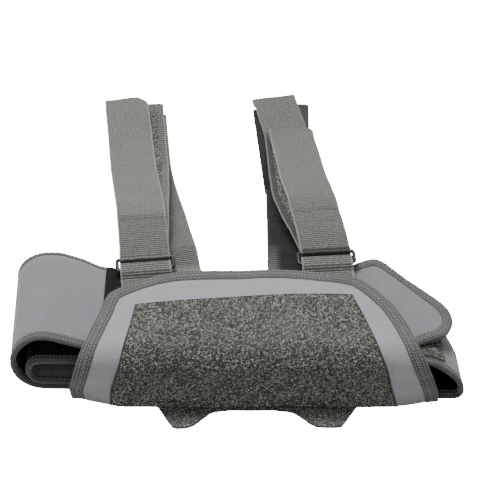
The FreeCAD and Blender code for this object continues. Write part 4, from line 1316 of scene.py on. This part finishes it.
class ARMSLING_OT_straps(bpy.types.Operator):
    """Thread both webbing straps through their rings and lay them out behind the pouch"""
    bl_idname = "armsling.straps"
    bl_label = "Straps"

    def execute(self, context):
        for side, spec in STRAPS.items():
            self.make_anchor(side, spec)
            self.make_under_run(side, spec)
            self.make_tab(side, spec)
            self.make_rear(side, spec)
        self.make_under_end()
        return {"FINISHED"}

    def make_anchor(self, side, spec):
        """The short webbing folded round a ring's near bar."""
        loop = 2.95
        slack = 8.2
        points = [(-36, 65.05), (-10.5, 65.05), (-6, 67.3 + loop), (slack, 67.9 + loop), (slack, 67.9 - loop),
                  (-6, 67.5 - loop), (-10.5, 63.4), (-36, 63.4)]
        line = rounded_line(points, [2.5, 2.5, loop - 0.02, loop - 0.02, 3, 3], 0.4)
        grid = ribbon_grid(RINGS[side], line, [(-60, spec["lean"]), (60, spec["lean"])], 25.4, sway=0.0)
        rib = bpy.context.scene.sling_sizes.rib_depth / MM
        anchor = webbing_piece(side + "_anchor_webbing", grid, 1.45, finish_named("Anchor Webbing"),
                               rib * 0.7)
        finish_piece(anchor, "root", [side + "_anchor"])

    def make_under_run(self, side, spec):
        """A strap's lower run, with its pile on top."""
        sizes = bpy.context.scene.sling_sizes
        rib = sizes.rib_depth / MM
        line = under_line(spec["under_length"])
        leans = spec["under"]
        grid = ribbon_grid(RINGS[side], line, leans, 25.0, spec["seed"], sway=0.3)
        run = webbing_piece(side + "_under_webbing", grid, 1.95, finish_named(spec["under_face"]), rib,
                            fade=(spec["pile"][1] - 30, spec["pile"][1] + 10), pitch=COARSE_PITCH)
        finish_piece(run, side + "_strap", [side + "_under_run"])
        upper = line[:int(len(line) * 0.97)]
        upper = upper[upper[:, 0] > 40]
        upper = cut_line(upper[:int(np.argmax(upper[:, 0]))], *spec["pile"])[::3]
        pile_grid = ribbon_grid(RINGS[side], shift_line(upper, 1.5), leans, 22.0, spec["seed"], sway=0.3,
                                columns=24, span=spec["pile_span"])
        ground = shell(side + "_pile_ground", pile_grid, 0.8, finish_named("Pile Ground"))
        finish_piece(ground, side + "_strap", [side + "_loop_patch"])
        loops = pile_cover(side + "_pile_loops", pile_grid, 0.6, finish_named("Pile Loops"), 480000.0,
                           sizes.pile_seed, 1.1)
        finish_piece(loops, side + "_strap")

    def make_tab(self, side, spec):
        """A strap's top run over the ring, and its tab with the hook tape below."""
        rib = bpy.context.scene.sling_sizes.rib_depth / MM
        whole = top_line(spec["tab_length"])
        leans = spec["top"]
        strap, tab_body = side + "_strap", side + "_tab"
        low = cut_line(whole, 0, 93)
        grid = ribbon_grid(RINGS[side], low, leans, 24.9, spec["seed"], sway=0.0)
        top = webbing_piece(side + "_top_webbing", grid, 1.95, finish_named("Ribbed Webbing"), rib)
        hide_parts(side + "_top_run")
        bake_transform(top)
        rise = 1.0 + 1.05 * ease(whole[:, 0], spec["seam"], spec["seam"] + 2 * spec["taper"])
        upper = shift_line(whole, rise[:, None])
        upper = upper[upper[:, 0] >= spec["seam"]]
        end = upper[-1, 0]
        cut_in, cut_back = spec["cut"]

        def corner(distance):
            return cut_in * np.clip((distance - (end - cut_back)) / cut_back, 0, 1) ** 1.6

        tab_grid = ribbon_grid(RINGS[side], upper, leans, 25.0, spec["seed"] + 1, sway=0.45, corner=corner,
                               skew=(spec["skew"], end))
        tab = webbing_piece(side + "_tab_webbing", tab_grid, 1.95, finish_named(spec["tab_face"]), rib,
                            fade=spec["tab_fade"], calm=0.25, taper=spec["taper"])
        finish_piece(tab, tab_body, [side + "_hook_tab"])
        hook_line = shift_line(whole, 0.55)
        hook_line = hook_line[hook_line[:, 0] >= end - 70][:-4]
        hook_grid = ribbon_grid(RINGS[side], hook_line[:-12:2], leans, 18.0, spec["seed"] + 1, 0.45)
        hook = shell(side + "_hook_tape", hook_grid, 0.9, finish_named("Hook Tape"))
        finish_piece(hook, tab_body, [side + "_hook_patch"])
        seam_rows = []
        normal = grid_normals(tab_grid)
        for offset in (4, 13):
            seam_rows.append((tab_grid[1:-1, offset] + normal[1:-1, offset] * 1.0, normal[1:-1, offset]))
        seam = stitch_rows(side + "_tab_seam", seam_rows,
                           seam_values(finish_named("Webbing Thread"), 2.6, 2.1, 0.26))
        finish_piece(seam, tab_body)

    def make_rear(self, side, spec):
        """A strap's rear run, from inside the pouch down to the floor."""
        rib = bpy.context.scene.sling_sizes.rib_depth / MM
        tail_x = spec["tail"]
        origin = np.array([tail_x, 67.0, 0.0])
        fall_end = RINGS[side][1] + spec["under_length"] - 75.0
        points = [(-29, 61.3), (14, 61.3), (112, 23), (205, FLOOR_RUN), (fall_end - 4, FLOOR_RUN)]
        line = rounded_line(points, [30, 160, 160], 0.5)
        grid = ribbon_grid(origin, line, spec["rear"], 25.0, spec["seed"] + 3, sway=0.3)
        sink = slump(grid[..., 0], grid[..., 1]) * (1 - ease(grid[..., 1], 79, 110))
        grid[..., 2] += sink * 0.9
        rear = webbing_piece(side + "_rear_webbing", grid, 1.95, finish_named(spec["rear_face"]), rib,
                             fade=(110.0, 170.0))
        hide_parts(side + "_rear_run", side + "_rear_tail")
        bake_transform(rear)

    def make_under_end(self):
        """The hook tape under the right strap's inner end."""
        line = np.stack([np.linspace(0, 158, 120), np.full(120, 3.1)], axis=1)
        grid = ribbon_grid(np.array([52.6, 260.0, 0.0]), line, [(-60, 4.6), (470, 4.6)], 25.0, sway=0.0)
        end = shell("right_inner_end", grid, 1.4, finish_named("Hook Tape"))
        finish_piece(end, "right_strap", ["right_under_end"])


class ARMSLING_OT_rings(bpy.types.Operator):
    """Give the two wire rings their black enamel"""
    bl_idname = "armsling.rings"
    bl_label = "Rings"

    def execute(self, context):
        for name in ("left_ring", "right_ring"):
            ring = frame["nodes"][name]
            if not ring.material_slots:
                ring.data.materials.append(None)
            for slot in ring.material_slots:
                slot.material = finish_named("Ring Enamel")
        return {"FINISHED"}


# ------------------------------------------------------------ stage
class ARMSLING_OT_stage(bpy.types.Operator):
    """Set the pale floor, the soft lights and the camera"""
    bl_idname = "armsling.stage"
    bl_label = "Stage"

    def execute(self, context):
        scene = context.scene
        mesh = bpy.data.meshes.new("floor")
        size = 6.0
        mesh.from_pydata([(-size, -size, -0.0006), (size, -size, -0.0006), (size, size, -0.0006),
                          (-size, size, -0.0006)], [], [(0, 1, 2, 3)])
        floor = bpy.data.objects.new("floor", mesh)
        scene.collection.objects.link(floor)
        paint = bpy.data.materials.new("Pale Floor")
        paint.use_nodes = True
        tree = paint.node_tree
        shader = tree.nodes["Principled BSDF"]
        shader.inputs["Base Color"].default_value = (0.7, 0.7, 0.7, 1)
        shader.inputs["Roughness"].default_value = 0.9
        glow = add(tree, "ShaderNodeEmission", Color=(1, 1, 1, 1), Strength=40.0)
        seen = tree.nodes.new("ShaderNodeLightPath").outputs["Is Camera Ray"]
        mostly = math_node(tree, "MULTIPLY", seen, 0.72)
        pale = add(tree, "ShaderNodeMixShader", i0=mostly, i1=shader.outputs[0], i2=glow.outputs[0])
        tree.links.new(pale.outputs[0], tree.nodes["Material Output"].inputs["Surface"])
        mesh.materials.append(paint)
        world = bpy.data.worlds.new("Studio")
        scene.world = world
        world.use_nodes = True
        world.node_tree.nodes["Background"].inputs[0].default_value = (1, 1, 1, 1)
        world.node_tree.nodes["Background"].inputs[1].default_value = 0.42
        middle = Vector(place([0, 60, 30]))
        for name, spot, power, width in (("key_light", (-0.35, 0.45, 1.8), 52.0, 0.7),
                                         ("fill_light", (-0.6, -1.4, 1.2), 3.5, 1.2),
                                         ("back_light", (0.5, 1.6, 1.2), 12.0, 1.0)):
            lamp = bpy.data.lights.new(name, "AREA")
            lamp.energy = power
            lamp.size = width
            light = bpy.data.objects.new(name, lamp)
            light.location = middle + Vector(spot)
            light.rotation_euler = (middle - light.location).to_track_quat("-Z", "Y").to_euler()
            scene.collection.objects.link(light)
        lens = bpy.data.cameras.new("camera")
        lens.lens = 135.0
        lens.sensor_width = 36.0
        lens.clip_start = 0.05
        lens.clip_end = 30.0
        camera = bpy.data.objects.new("camera", lens)
        camera.location = place(SEEN_FROM)
        camera.rotation_euler = (math.radians(90.0 - LOOKING_DOWN), 0.0, 0.0)
        scene.collection.objects.link(camera)
        scene.camera = camera
        return {"FINISHED"}


STEPS = (ARMSLING_OT_finishes, ARMSLING_OT_belt, ARMSLING_OT_belt_pile, ARMSLING_OT_tongue,
         ARMSLING_OT_rear_wall, ARMSLING_OT_under_flap, ARMSLING_OT_front_wall, ARMSLING_OT_front_pile,
         ARMSLING_OT_straps, ARMSLING_OT_rings, ARMSLING_OT_stage)


class ARMSLING_PT_panel(bpy.types.Panel):
    """Sizes, colours and steps of the arm sling"""
    bl_idname = "ARMSLING_PT_panel"
    bl_label = "Folded Arm Sling"
    bl_space_type = "VIEW_3D"
    bl_region_type = "UI"
    bl_category = "Arm Sling"

    def draw(self, context):
        for settings in (context.scene.sling_sizes, context.scene.sling_colours):
            box = self.layout.box()
            for key in settings.bl_rna.properties.keys():
                if key not in ("rna_type", "name"):
                    box.prop(settings, key)
        for step in STEPS:
            self.layout.operator(step.bl_idname)


CLASSES = (SlingSizes, SlingColours) + STEPS + (ARMSLING_PT_panel,)


def register():
    """Add the sling's classes and settings to Blender."""
    for made in CLASSES:
        bpy.utils.register_class(made)
    bpy.types.Scene.sling_sizes = PointerProperty(type=SlingSizes)
    bpy.types.Scene.sling_colours = PointerProperty(type=SlingColours)


def unregister():
    """Take the sling's classes and settings away again."""
    del bpy.types.Scene.sling_colours
    del bpy.types.Scene.sling_sizes
    for made in reversed(CLASSES):
        bpy.utils.unregister_class(made)


def main():
    """Run every step."""
    register()
    for step in STEPS:
        group, name = step.bl_idname.split(".")
        getattr(getattr(bpy.ops, group), name)()


if __name__ == "__main__":
    main()
